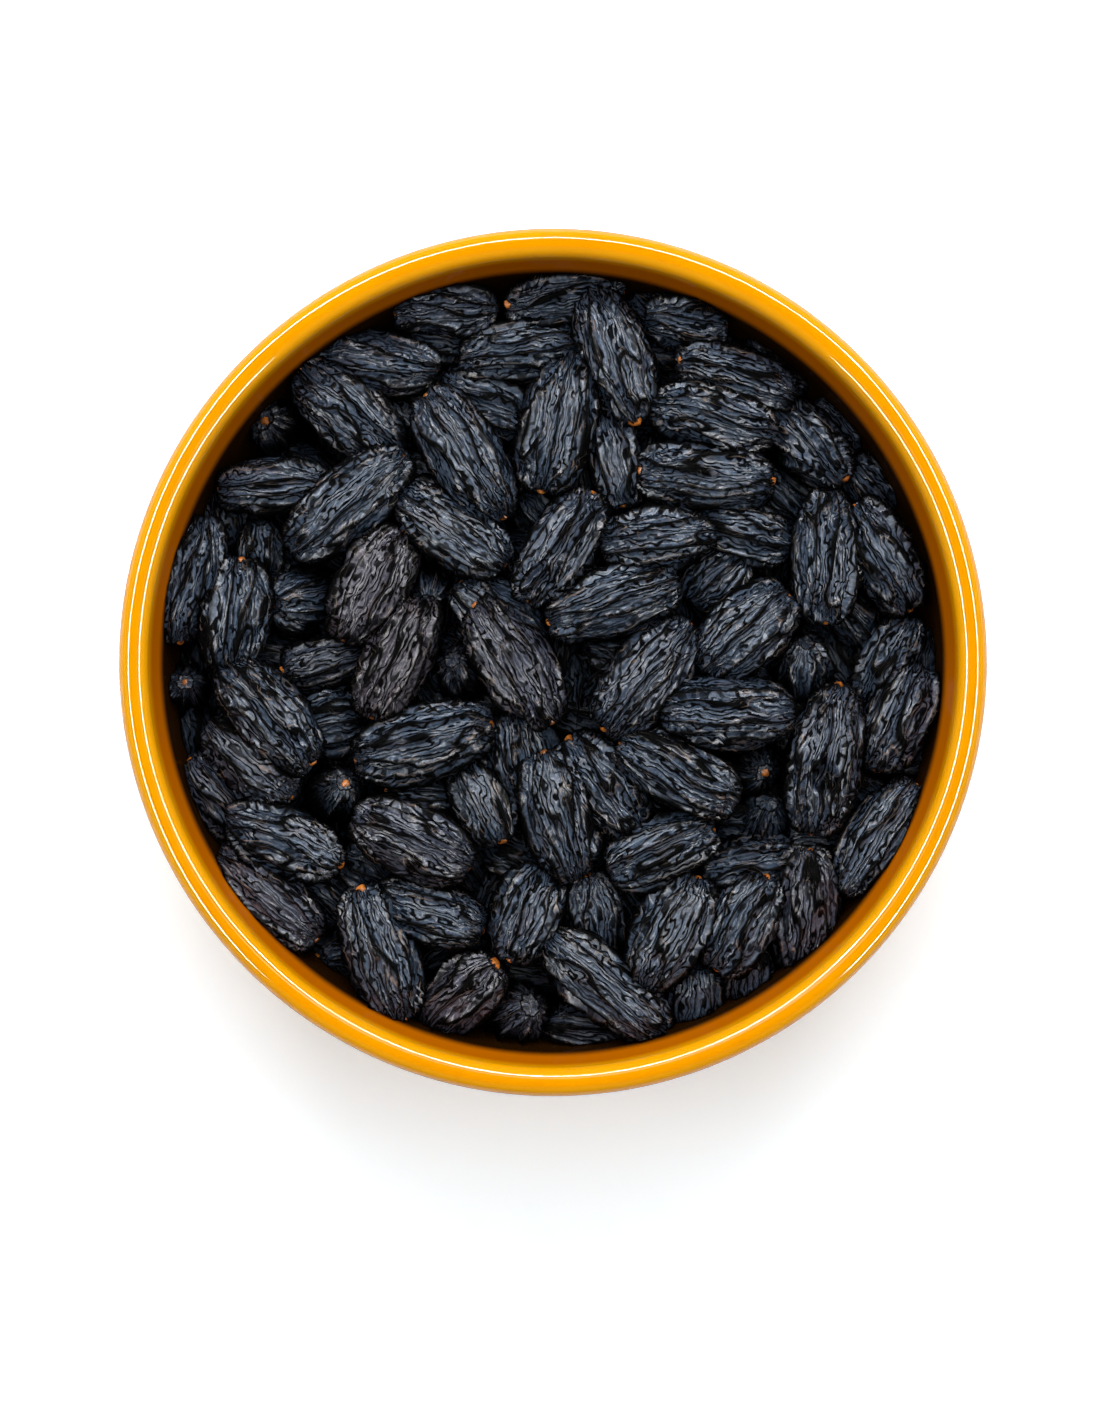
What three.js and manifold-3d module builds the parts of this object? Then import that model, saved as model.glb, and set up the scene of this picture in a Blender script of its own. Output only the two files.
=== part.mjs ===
// Bowl of black raisins
// Millimetres, +Z up. The origin is the middle of the foot's underside, and +Y is the far side of the bowl.

import * as THREE from "three";
import { mergeVertices } from "three/addons/utils/BufferGeometryUtils.js";
import Module from "manifold-3d";

// Driving dimensions of the bowl
const BOWL_DIAMETER = 140;
const BOWL_HEIGHT = 62;
const BEAD_RADIUS = 2.4;
const BEAD_UNDERCUT = 65;
const FOOT_DIAMETER = 75;
const FOOT_WIDTH = 4;
const FOOT_SLOPE = 1;
const FOOT_EDGE = 0.6;
const FOOT_RECESS = 2.2;
const FLOOR_THICKNESS = 4;
const WALL_THICKNESS = 3.8;

// Points on the wall, bottom to top outside and top to bottom inside, each with its height last.
// Low points start with their distance beyond the foot, and high ones with their distance inside the rim.
const OUTER_LOW = [[FOOT_EDGE, 3.4], [9, 8], [20, 19]];
const OUTER_HIGH = [[5.4, 35], [2.2, 49]];
const INNER_HIGH = [[2.2, 50], [5.4, 36.5]];
const INNER_LOW = [[17.4, 22], [4, 11.5]];
const FLOOR_FLAT_RADIUS = 8;
const FLOOR_TURN_RADIUS = 23.5;
const FLOOR_TURN_RISE = 1;

// The heap: how far its edge and its crown lie below the rim,
// and how far its core and its hidden raisins lie below its surface
const EDGE_BELOW_RIM = 10.5;
const CROWN_BELOW_RIM = 4;
const CORE_BELOW_HEAP = 14.5;
const FILL_BELOW_HEAP = 8.8;

// Raisins. Fullness makes up for what flat facets take off the width.
const CLEARANCE = 0.35;
const FLATNESS = 0.9;
const FULLNESS = 1.03;
const RIDGE_DEPTH = 0.09;
const LEAST_RIDGE = 0.5;
const NUB_LENGTH = 0.8;
const BLUNTNESS = 0.24;
const END_ROUNDING = 0.75;
const END_REACH = 0.9;
const LEAST_WANDER = 0.1;
const MOST_WANDER = 0.25;
const WANDER_WAVES = 2.5;

// Hidden raisins, in rows and columns about the bowl's axis
const FILL_LENGTH = 20;
const FILL_WIDTH = 11.5;
const FILL_SPACING = 17.6;
const FILL_ROW_SPACING = 0.8 * FILL_SPACING;
const FILL_TILT = 0.75;
const FILL_REACH = 4;

// Starting numbers of the repeatable draws
const LOWER_SEED = 101;
const DEEP_SEED = 201;
const FILL_SEED = 500;
const FILL_LAYOUT_SEED = 7;

// Fineness of the facets
const BOWL_SIDES = 52;
const OUTER_STEPS = 8;
const BEAD_STEPS = 8;
const WALL_STEPS = 9;
const CORE_STEPS = 7;
const CORE_SIDES = BOWL_SIDES / 2;
const TOP_SIDES = 10;
const TOP_BANDS = 6;
const LOWER_SIDES = 10;
const LOWER_BANDS = 5;
const DEEP_SIDES = 8;
const DEEP_BANDS = 4;
const FILL_SIDES = 6;
const FILL_BANDS = 4;
const DENT_SIDES = 8;
const DENT_BANDS = 5;
const WELD = 1e-4;
const TOP_TOLERANCE = 0.1;
const BED_TOLERANCE = 0.3;
const HEADROOM = 20;
const CORE_MARGIN = 1;

// How the photograph is read: the bowl's middle and outer edge in its pixels, and the camera's height
const PHOTO_CENTRE_X = 553;
const PHOTO_CENTRE_Y = 662.4;
const PHOTO_BOWL_DIAMETER = 866.5;
const CAMERA_ABOVE_RIM = 700;

// Which ends of a raisin keep a stub of stem, added up where both do
const STEM_NUB = 1;
const TIP_NUB = 2;

// Each row is one raisin: its stem end x and y and its tip x and y in the photograph's pixels, its width,
// how far its stem end and its tip lie below a raisin that rests flat on top of the heap, and its stubs.
// A raisin comes before those that it lies on.
const TOP_RAISINS = [
  [404, 458, 297, 551, 10.5, -1, 0.5, 3],
  [301, 370, 398, 456, 10, 0, 3, 1],
  [595, 293, 635, 422, 10.5, 0, 0, 3],
  [427, 397, 504, 518, 11, 0, 0, 3],
  [572, 360, 541, 492, 10.5, 0, 0, 3],
  [436, 371, 322, 360, 9.5, 1, 3.5, 1],
  [507, 306, 622, 296, 7.5, 2, 3.5, 3],
  [772, 435, 650, 405, 10, 0, 0, 1],
  [772, 482, 640, 472, 10, 0, 0, 3],
  [680, 362, 792, 398, 9.5, 0.5, 2, 1],
  [373, 716, 425, 603, 10, 0, 0, 1],
  [345, 639, 404, 534, 11, 0.5, 0, 3],
  [824, 622, 824, 495, 10, 0, 0, 3],
  [551, 722, 476, 605, 10.5, 0, 0, 3],
  [673, 583, 549, 622, 10.5, 0, 0.5, 3],
  [688, 624, 603, 728, 11, 0.5, 0, 3],
  [787, 597, 700, 668, 11, 0, 1.5, 1],
  [491, 724, 358, 760, 11, 0.5, 0.5, 3],
  [314, 762, 230, 668, 10, 0, 0, 1],
  [837, 684, 810, 832, 11, 0, 0, 3],
  [544, 752, 575, 877, 10.5, 0, 0, 3],
  [733, 803, 621, 742, 10, 0, 0, 3],
  [662, 712, 789, 715, 10.5, 0, 0, 3],
  [468, 867, 360, 812, 11, 0, 0, 1],
  [362, 888, 403, 1018, 11, 0, 0, 3],
  [697, 877, 644, 984, 10.5, 0, -0.5, 3],
  [548, 938, 661, 1030, 11, 1, 1.5, 1],
  [710, 534, 600, 542, 9, 0, 0, 1],
  [592, 494, 530, 601, 10, 0, 0, 3],
  [504, 565, 398, 492, 10.5, 1, 2, 1],
  [765, 875, 716, 967, 10, 0, 0, 3],
  [342, 864, 231, 817, 9.5, 0, 0.5, 3],
  [219, 856, 317, 938, 10, 0.5, 1, 3],
  [291, 797, 213, 725, 10, 3, 3.5, 3],
  [181, 642, 207, 520, 9.5, 1.5, 1, 1],
  [232, 670, 243, 560, 10, 1, 0, 3],
  [222, 490, 330, 487, 8, 2, 3.5, 1],
  [397, 314, 497, 309, 7.5, 2, 2, 1],
  [463, 362, 577, 345, 9, 3, 4, 1],
  [724, 328, 646, 320, 8.5, 2, 2.5, 1],
  [844, 480, 768, 408, 9.5, 2, 5, 1],
  [907, 610, 852, 508, 10, 1, 1, 3],
  [875, 769, 922, 668, 9.5, 1, 1.5, 1],
  [914, 785, 842, 889, 9.5, 1, 1, 3],
  [808, 850, 796, 966, 10, 0.5, 4, 1],
  [568, 738, 636, 826, 10.5, 2, 1.5, 3],
  [712, 829, 610, 868, 10, 1.5, 1, 3],
  [510, 958, 543, 868, 10, 0.5, 2.5, 1],
  [494, 962, 425, 1022, 10.5, 0, 5, 1],
  [502, 838, 465, 762, 9.5, 2, 5, 1],
  [787, 546, 692, 522, 9, 3, 5, 1],
  [482, 930, 380, 893, 9.5, 2, 4.5, 1],
  [793, 850, 702, 872, 8, 4, 4.5, 0],
  [588, 874, 602, 955, 9, 3, 8, 1],
  [528, 1003, 498, 1022, 10.5, 1, 14, 0],
  [740, 555, 690, 600, 9.5, 4, 6, 0],
];

// Raisins of the second layer, of which a side or an end shows
const LOWER_RAISINS = [
  [266, 422, 296, 444, 9, 2, 16, 1],
  [442, 388, 530, 425, 9.5, 5, 5, 0],
  [622, 506, 605, 415, 7.5, 4, 5, 1],
  [628, 300, 672, 345, 8, 6, 7, 0],
  [812, 408, 854, 452, 8.5, 8, 7, 0],
  [262, 522, 262, 580, 7, 5, 9, 0],
  [274, 604, 334, 596, 10, 3, 11, 1],
  [428, 606, 432, 572, 7, 4, 13, 1],
  [284, 670, 365, 652, 7, 6, 7, 1],
  [187, 683, 199, 700, 9, 2, 17, 1],
  [461, 585, 540, 650, 10, 3, 6, 1],
  [803, 640, 797, 705, 8.5, 3, 11, 0],
  [908, 620, 858, 705, 9, 4, 6, 0],
  [192, 760, 243, 828, 9.5, 4, 5, 1],
  [347, 783, 320, 812, 9, 2, 16, 1],
  [362, 718, 300, 728, 10, 6, 5, 0],
  [388, 790, 455, 800, 8, 6, 8, 1],
  [454, 660, 480, 692, 9, 3, 15, 0],
  [514, 712, 530, 795, 10.5, 4, 5, 0],
  [764, 772, 738, 766, 9, 3, 17, 1],
  [766, 802, 757, 838, 7, 5, 12, 0],
  [317, 957, 352, 942, 7.5, 7, 12, 1],
  [693, 1024, 697, 962, 8.5, 6, 4, 0],
  [744, 1000, 748, 945, 8, 7, 4, 0],
  [545, 1022, 625, 1036, 8.5, 7, 7, 0],
  [640, 345, 692, 352, 7, 8, 9, 0],
  [850, 462, 888, 508, 7.5, 6, 8, 0],
  [930, 632, 926, 690, 6.5, 8, 8, 0],
  [835, 598, 872, 640, 7, 8, 9, 0],
  [757, 478, 800, 520, 7.5, 9, 9, 0],
  [398, 338, 470, 345, 7, 7, 7, 0],
  [560, 566, 600, 592, 7.5, 7, 8, 0],
];

// Raisins that lie deep in the gaps
const DEEP_RAISINS = [
  [380, 408, 422, 442, 7, 8, 8, 0],
  [742, 348, 800, 392, 8, 8, 8, 0],
  [222, 488, 237, 545, 7, 8, 9, 0],
  [520, 495, 548, 535, 7, 8, 9, 0],
  [583, 645, 640, 662, 7, 8, 9, 0],
  [295, 690, 350, 680, 6.5, 9, 9, 0],
  [185, 700, 200, 765, 7.5, 10, 10, 0],
  [205, 795, 240, 858, 7.5, 9, 10, 0],
  [345, 850, 388, 880, 7.5, 8, 8, 0],
  [570, 655, 580, 725, 7.5, 10, 11, 0],
  [640, 780, 695, 805, 7.5, 6, 7, 0],
  [480, 850, 545, 865, 8.5, 9, 9, 0],
  [715, 825, 768, 832, 7, 9, 9, 0],
  [842, 778, 880, 802, 6, 8, 9, 0],
  [838, 885, 852, 935, 8, 10, 10, 0],
  [785, 836, 842, 840, 7, 8, 8, 0],
  [308, 885, 345, 918, 8, 6, 8, 0],
  [612, 885, 642, 930, 7.5, 8, 9, 0],
  [695, 652, 765, 672, 8, 9, 9, 0],
  [400, 470, 445, 482, 6.5, 9, 9, 0],
  [535, 312, 585, 325, 7, 9, 9, 0],
  [650, 368, 695, 378, 7, 11, 11, 0],
  [885, 760, 925, 752, 6.5, 8, 8, 0],
];

// Rows of TOP_RAISINS whose skin is a purplish brown instead of a slate black
const BROWN_ROWS = [10, 11, 13, 48];

// Colours from the photograph
const GLAZE_COLOUR = 0xf5a800;
const SLATE_COLOUR = 0x2c2e35;
const BROWN_COLOUR = 0x33292b;
const BED_COLOUR = 0x1f2025;
const GLAZE_ROUGHNESS = 0.12;
const SKIN_ROUGHNESS = 0.45;

const RIM_RADIUS = BOWL_DIAMETER / 2;
const BEAD_CENTRE_R = RIM_RADIUS - BEAD_RADIUS;
const BEAD_CENTRE_Z = BOWL_HEIGHT - BEAD_RADIUS;
const BEAD_START = THREE.MathUtils.degToRad(-BEAD_UNDERCUT);
const FOOT_RADIUS = FOOT_DIAMETER / 2;
const INNER_FLOOR_Z = FOOT_RECESS + FLOOR_THICKNESS;
const MM_PER_PIXEL = BOWL_DIAMETER / PHOTO_BOWL_DIAMETER;

const wasm = await Module();
wasm.setup();

// A repeatable draw between 0 and 1
function drawFrom(seed) {
  let state = seed * 2654435761 + 12345;
  return () => {
    state = (state + 0x6d2b79f5) | 0;
    let mixed = Math.imul(state ^ (state >>> 15), 1 | state);
    mixed = (mixed + Math.imul(mixed ^ (mixed >>> 7), 61 | mixed)) ^ mixed;
    return ((mixed ^ (mixed >>> 14)) >>> 0) / 4294967296;
  };
}

// A closed shape with shared corners and no collapsed faces
function welded(geometry) {
  const bare = geometry.clone();
  bare.deleteAttribute("normal");
  bare.deleteAttribute("uv");
  const merged = mergeVertices(bare, WELD);
  const faces = [];
  const index = merged.index.array;
  for (let i = 0; i < index.length; i += 3) {
    const [a, b, c] = [index[i], index[i + 1], index[i + 2]];
    if (a !== b && b !== c && c !== a) {
      faces.push(a, b, c);
    }
  }
  merged.setIndex(faces);
  return merged;
}

function solidFrom(geometry) {
  const shape = welded(geometry);
  return new wasm.Manifold(
    new wasm.Mesh({
      numProp: 3,
      vertProperties: shape.attributes.position.array,
      triVerts: new Uint32Array(shape.index.array),
    }),
  );
}

function geometryFrom(solid) {
  const mesh = solid.getMesh();
  const geometry = new THREE.BufferGeometry();
  geometry.setAttribute("position", new THREE.BufferAttribute(new Float32Array(mesh.vertProperties), 3));
  geometry.setIndex(new THREE.BufferAttribute(new Uint32Array(mesh.triVerts), 1));
  const flat = geometry.toNonIndexed();
  flat.computeVertexNormals();
  return flat;
}

// The one body that is left after cutting, with edges shorter than the tolerance can show taken out
function tidied(solid, tolerance) {
  const bodies = solid.asOriginal().simplify(tolerance).decompose();
  return bodies.reduce((best, body) => (body.volume() > best.volume() ? body : best));
}

// Half outlines of the bowl, as distance from the axis and height
function beyondFoot([distance, height]) {
  return new THREE.Vector2(FOOT_RADIUS + distance, height);
}

function insideRim([distance, height]) {
  return new THREE.Vector2(RIM_RADIUS - distance, height);
}

function outerWall() {
  const beadStart = new THREE.Vector2(
    BEAD_CENTRE_R + BEAD_RADIUS * Math.cos(BEAD_START),
    BEAD_CENTRE_Z + BEAD_RADIUS * Math.sin(BEAD_START),
  );
  const points = [...OUTER_LOW.map(beyondFoot), ...OUTER_HIGH.map(insideRim), beadStart];
  return new THREE.SplineCurve(points).getPoints(OUTER_STEPS);
}

function innerWall(inset, steps) {
  const wall = new THREE.SplineCurve([
    new THREE.Vector2(BEAD_CENTRE_R - BEAD_RADIUS, BEAD_CENTRE_Z),
    ...INNER_HIGH.map(([distance, height]) => insideRim([distance + WALL_THICKNESS, height])),
    ...INNER_LOW.map(beyondFoot),
    new THREE.Vector2(FLOOR_TURN_RADIUS, INNER_FLOOR_Z + FLOOR_TURN_RISE),
    new THREE.Vector2(FLOOR_FLAT_RADIUS, INNER_FLOOR_Z),
  ]).getPoints(steps);
  return wall.map((point) => new THREE.Vector2(point.x - inset, point.y + inset));
}

function bead() {
  const arc = new THREE.EllipseCurve(
    BEAD_CENTRE_R, BEAD_CENTRE_Z, BEAD_RADIUS, BEAD_RADIUS, BEAD_START, Math.PI, false, 0,
  );
  return arc.getPoints(BEAD_STEPS).slice(1, -1);
}

function turned(profile, sides) {
  return new THREE.LatheGeometry(profile, sides).rotateX(Math.PI / 2);
}

function bowlGeometry() {
  const profile = [
    new THREE.Vector2(0, FOOT_RECESS),
    new THREE.Vector2(FOOT_RADIUS - FOOT_WIDTH - FOOT_SLOPE, FOOT_RECESS),
    new THREE.Vector2(FOOT_RADIUS - FOOT_WIDTH, 0),
    new THREE.Vector2(FOOT_RADIUS - FOOT_EDGE, 0),
    new THREE.Vector2(FOOT_RADIUS, FOOT_EDGE),
    ...outerWall(),
    ...bead(),
    ...innerWall(0, WALL_STEPS),
    new THREE.Vector2(0, INNER_FLOOR_Z),
  ];
  return turned(profile, BOWL_SIDES);
}

// The room inside the bowl, clear of its glaze, with open air above the rim
function roomInside() {
  const top = BOWL_HEIGHT + HEADROOM;
  const profile = [
    new THREE.Vector2(0, INNER_FLOOR_Z + CLEARANCE),
    ...innerWall(CLEARANCE, WALL_STEPS).reverse(),
    new THREE.Vector2(BEAD_CENTRE_R - BEAD_RADIUS - CLEARANCE, top),
    new THREE.Vector2(0, top),
  ];
  return solidFrom(turned(profile, BOWL_SIDES));
}

// Height of the heap's upper surface at a distance from the axis
function heapHeight(x, y) {
  const outward = Math.min(1, (x * x + y * y) / (RIM_RADIUS - WALL_THICKNESS) ** 2);
  return BOWL_HEIGHT - CROWN_BELOW_RIM - (EDGE_BELOW_RIM - CROWN_BELOW_RIM) * outward;
}

// A place in the photograph as a point in the bowl, drop below the top layer's axis
function placeOf(pixelX, pixelY, width, drop) {
  const x = (pixelX - PHOTO_CENTRE_X) * MM_PER_PIXEL;
  const y = (PHOTO_CENTRE_Y - pixelY) * MM_PER_PIXEL;
  const z = heapHeight(x, y) - (FLATNESS * width) / 2 - drop;
  const farther = 1 + (BOWL_HEIGHT - z) / CAMERA_ABOVE_RIM;
  return new THREE.Vector3(x * farther, y * farther, z);
}

function raisinFromRow([stemX, stemY, tipX, tipY, width, stemDrop, tipDrop, nubs], seed) {
  return {
    stem: placeOf(stemX, stemY, width, stemDrop),
    tip: placeOf(tipX, tipY, width, tipDrop),
    width,
    nubs,
    seed,
  };
}

// Turns a shape whose long axis is Y so that it runs from the tip to the stem end
function laidDown(geometry, raisin) {
  const along = raisin.stem.clone().sub(raisin.tip).normalize();
  const side = along.clone().cross(new THREE.Vector3(0, 0, 1)).normalize();
  const upper = side.clone().cross(along);
  const middle = raisin.stem.clone().add(raisin.tip).multiplyScalar(0.5);
  return geometry.applyMatrix4(new THREE.Matrix4().makeBasis(side, along, upper).setPosition(middle));
}

// Where a spot on a ball of radius 1, known by its height, goes on a spindle with blunt ends
function spotOnSpindle(height) {
  const end = height > 0 ? 1 : -1;
  const fromPole = Math.acos(Math.min(1, Math.abs(height)));
  const polar = Math.max(0, fromPole - BLUNTNESS * Math.sin(2 * fromPole));
  const aside = polar < WELD ? 0 : Math.sin(polar) ** END_ROUNDING;
  return { end, lengthwise: end * Math.cos(polar) ** END_REACH, aside };
}

// A blunt spindle, wrinkled by ridges that run along it and wander, with a point where a stub of stem is left
function wrinkledSpindle(raisin, sides, bands) {
  const draw = drawFrom(raisin.seed);
  const half = raisin.stem.distanceTo(raisin.tip) / 2;
  const ball = welded(new THREE.SphereGeometry(1, sides, bands));
  const places = ball.attributes.position;
  const wander = LEAST_WANDER + (MOST_WANDER - LEAST_WANDER) * draw();
  const phase = 2 * Math.PI * draw();
  const turn = (2 * Math.PI * draw()) / sides;
  const fullness = FULLNESS / Math.cos(Math.PI / sides);
  for (let i = 0; i < places.count; i++) {
    const { lengthwise, aside, end } = spotOnSpindle(places.getY(i));
    const around = Math.atan2(places.getZ(i), places.getX(i));
    const column = Math.round((around * sides) / (2 * Math.PI));
    const depth = RIDGE_DEPTH * (LEAST_RIDGE + (1 - LEAST_RIDGE) * draw());
    const ridge = column % 2 === 0 ? depth : -depth;
    const radius = (fullness * raisin.width * aside * (1 + ridge * aside)) / 2;
    const angle = around + turn + wander * Math.sin(WANDER_WAVES * lengthwise + phase) * aside;
    const stubbed = aside === 0 && raisin.nubs & (end > 0 ? STEM_NUB : TIP_NUB);
    const reach = half + (stubbed ? NUB_LENGTH : 0);
    places.setXYZ(i, radius * Math.cos(angle), reach * lengthwise, FLATNESS * radius * Math.sin(angle));
  }
  return laidDown(ball, raisin);
}

// What a raisin presses into its neighbours: its own outline, unwrinkled, with the clearance around it
function dentOf(raisin) {
  const ball = new THREE.SphereGeometry(1, DENT_SIDES, DENT_BANDS);
  const places = ball.attributes.position;
  const half = raisin.stem.distanceTo(raisin.tip) / 2 + 2 * CLEARANCE;
  const ridged = (FULLNESS * raisin.width * (1 + RIDGE_DEPTH)) / 2 / Math.cos(Math.PI / TOP_SIDES);
  const radius = (ridged + CLEARANCE) / Math.cos(Math.PI / DENT_SIDES);
  for (let i = 0; i < places.count; i++) {
    const { lengthwise, aside, end } = spotOnSpindle(places.getY(i));
    const around = Math.atan2(places.getZ(i), places.getX(i));
    const stubbed = aside === 0 && raisin.nubs & (end > 0 ? STEM_NUB : TIP_NUB);
    const reach = half + (stubbed ? NUB_LENGTH : 0);
    const out = radius * aside;
    places.setXYZ(i, out * Math.cos(around), reach * lengthwise, FLATNESS * out * Math.sin(around));
  }
  return solidFrom(laidDown(ball, raisin));
}

function near(one, other) {
  const reach = (raisin) => raisin.stem.distanceTo(raisin.tip) / 2 + raisin.width / 2;
  const middle = (raisin) => raisin.stem.clone().add(raisin.tip).multiplyScalar(0.5);
  return middle(one).distanceTo(middle(other)) < reach(one) + reach(other);
}

// Hidden raisins that carry the ones in view, laid in rows with each one turned at random
function fillRaisins() {
  const draw = drawFrom(FILL_LAYOUT_SEED);
  const found = [];
  const reach = RIM_RADIUS - WALL_THICKNESS - FILL_LENGTH / 2;
  for (let row = -FILL_REACH; row <= FILL_REACH; row++) {
    for (let column = -FILL_REACH; column <= FILL_REACH; column++) {
      const x = (column + (row % 2 ? 0.5 : 0)) * FILL_SPACING;
      const y = row * FILL_ROW_SPACING;
      const heading = Math.PI * draw();
      const tilt = FILL_TILT * (2 * draw() - 1);
      if (Math.hypot(x, y) > reach) {
        continue;
      }
      const arm = new THREE.Vector3(Math.cos(heading), Math.sin(heading), 0).multiplyScalar(FILL_LENGTH / 2);
      const z = heapHeight(x, y) - FILL_BELOW_HEAP - FILL_WIDTH / 2;
      found.push({
        stem: new THREE.Vector3(x, y, z + tilt).add(arm),
        tip: new THREE.Vector3(x, y, z - tilt).sub(arm),
        width: FILL_WIDTH,
        nubs: 0,
        seed: FILL_SEED + found.length,
      });
    }
  }
  return found;
}

// The packed mass under the raisins in view
function heapCore() {
  const heightAt = (r) => heapHeight(r, 0) - CORE_BELOW_HEAP;
  const sides = innerWall(CLEARANCE, CORE_STEPS).reverse();
  const below = sides.filter((point) => point.y < heightAt(point.x) - CORE_MARGIN);
  const edge = RIM_RADIUS - 2 * WALL_THICKNESS;
  const profile = [
    new THREE.Vector2(0, INNER_FLOOR_Z + CLEARANCE),
    ...below,
    new THREE.Vector2(edge, heightAt(edge)),
    new THREE.Vector2(edge / 2, heightAt(edge / 2)),
    new THREE.Vector2(0, heightAt(0)),
  ];
  return solidFrom(turned(profile, CORE_SIDES));
}

const topRaisins = TOP_RAISINS.map((row, n) => raisinFromRow(row, n + 1));
const lowerRaisins = LOWER_RAISINS.map((row, n) => raisinFromRow(row, n + LOWER_SEED));
const deepRaisins = DEEP_RAISINS.map((row, n) => raisinFromRow(row, n + DEEP_SEED));
const dents = topRaisins.map(dentOf);
const room = roomInside();

function topRaisinSolid(raisin, place) {
  let solid = solidFrom(wrinkledSpindle(raisin, TOP_SIDES, TOP_BANDS));
  topRaisins.slice(0, place).forEach((earlier, n) => {
    if (near(raisin, earlier)) {
      solid = solid.subtract(dents[n]);
    }
  });
  return tidied(solid.intersect(room), TOP_TOLERANCE);
}

function raisinBedSolid() {
  const members = [
    heapCore(),
    ...lowerRaisins.map((raisin) => solidFrom(wrinkledSpindle(raisin, LOWER_SIDES, LOWER_BANDS))),
    ...deepRaisins.map((raisin) => solidFrom(wrinkledSpindle(raisin, DEEP_SIDES, DEEP_BANDS))),
    ...fillRaisins().map((raisin) => solidFrom(wrinkledSpindle(raisin, FILL_SIDES, FILL_BANDS))),
  ];
  const joined = wasm.Manifold.union(members);
  const pressed = joined.subtract(wasm.Manifold.union(dents));
  return tidied(pressed.intersect(room), BED_TOLERANCE);
}

const bowlOfRaisins = new THREE.Group();

function addPiece(name, geometry, material) {
  const piece = new THREE.Mesh(geometry, material);
  piece.name = name;
  bowlOfRaisins.add(piece);
}

function coat(colour, roughness) {
  return new THREE.MeshStandardMaterial({ color: colour, roughness, metalness: 0 });
}

addPiece("bowl", bowlGeometry(), coat(GLAZE_COLOUR, GLAZE_ROUGHNESS));
addPiece("raisin_bed", geometryFrom(raisinBedSolid()), coat(BED_COLOUR, SKIN_ROUGHNESS));
topRaisins.forEach((raisin, n) => {
  const name = `raisin_${String(n + 1).padStart(2, "0")}`;
  const colour = BROWN_ROWS.includes(n) ? BROWN_COLOUR : SLATE_COLOUR;
  addPiece(name, geometryFrom(topRaisinSolid(raisin, n)), coat(colour, SKIN_ROUGHNESS));
});

export default bowlOfRaisins;
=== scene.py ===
# Bowl of black raisins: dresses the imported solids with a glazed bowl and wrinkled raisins.
# Metres, +Z up, +Y towards the top of the photograph.

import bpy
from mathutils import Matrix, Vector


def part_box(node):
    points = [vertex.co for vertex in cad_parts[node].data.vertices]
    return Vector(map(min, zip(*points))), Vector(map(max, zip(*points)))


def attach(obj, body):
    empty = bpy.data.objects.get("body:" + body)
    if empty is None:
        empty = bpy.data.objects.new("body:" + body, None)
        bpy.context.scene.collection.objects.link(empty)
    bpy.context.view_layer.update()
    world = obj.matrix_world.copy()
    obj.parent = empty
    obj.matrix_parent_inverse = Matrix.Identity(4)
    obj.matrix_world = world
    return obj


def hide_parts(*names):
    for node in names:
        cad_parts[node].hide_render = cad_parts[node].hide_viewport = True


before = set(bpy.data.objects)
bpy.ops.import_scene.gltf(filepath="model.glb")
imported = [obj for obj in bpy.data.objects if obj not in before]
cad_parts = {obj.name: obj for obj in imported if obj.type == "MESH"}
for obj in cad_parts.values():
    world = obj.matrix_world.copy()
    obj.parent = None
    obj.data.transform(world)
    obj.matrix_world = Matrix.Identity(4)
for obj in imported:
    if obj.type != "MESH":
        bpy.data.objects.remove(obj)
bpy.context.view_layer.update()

import math
import random

import bmesh
import bpy
from bpy.props import FloatProperty, FloatVectorProperty, IntProperty, PointerProperty
from mathutils import Vector

bl_info = {
    "name": "Bowl of black raisins",
    "version": (1, 0, 0),
    "blender": (4, 5, 0),
    "location": "View3D > Sidebar > Raisins",
    "description": "Makes a glazed bowl heaped with long wrinkled black raisins",
    "category": "Add Mesh",
}

MM = 0.001
MM_PER_METRE = 1000

# The bowl, as in the part's source
BOWL_LOW, BOWL_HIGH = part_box("bowl")
RIM_RADIUS = (BOWL_HIGH[0] - BOWL_LOW[0]) / 2
BOWL_HEIGHT = BOWL_HIGH[2] - BOWL_LOW[2]
BEAD_RADIUS = 2.4 * MM
BEAD_START = -0.36 * math.pi
FOOT_RADIUS = 37.5 * MM
FOOT_WIDTH = 4 * MM
FOOT_RECESS = 2.2 * MM
FLOOR_THICKNESS = 4 * MM
WALL_THICKNESS = 3.8 * MM
BEAD_CENTRE_R = RIM_RADIUS - BEAD_RADIUS
BEAD_CENTRE_Z = BOWL_HEIGHT - BEAD_RADIUS

# The heap, as in the part's source
EDGE_BELOW_RIM = 10.5 * MM
CROWN_BELOW_RIM = 4 * MM
FLATNESS = 0.9

# What the dressed raisins keep free between themselves and the bowl's wall
CLEARANCE = 0.2 * MM

# How the photograph is read: its frame and the bowl's middle and width in pixels, how high the camera
# stands above the rim, and how far below the top of the rim its visible edge lies
PHOTO_WIDTH = 1106
PHOTO_HEIGHT = 1422
PHOTO_CENTRE_X = 553
PHOTO_CENTRE_Y = 662.4
PHOTO_BOWL_DIAMETER = 866.5
CAMERA_ABOVE_RIM = 0.7
EDGE_BELOW_TOP = 1.5 * BEAD_RADIUS
SENSOR = 36
METRES_PER_PIXEL = 2 * RIM_RADIUS / PHOTO_BOWL_DIAMETER

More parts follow.
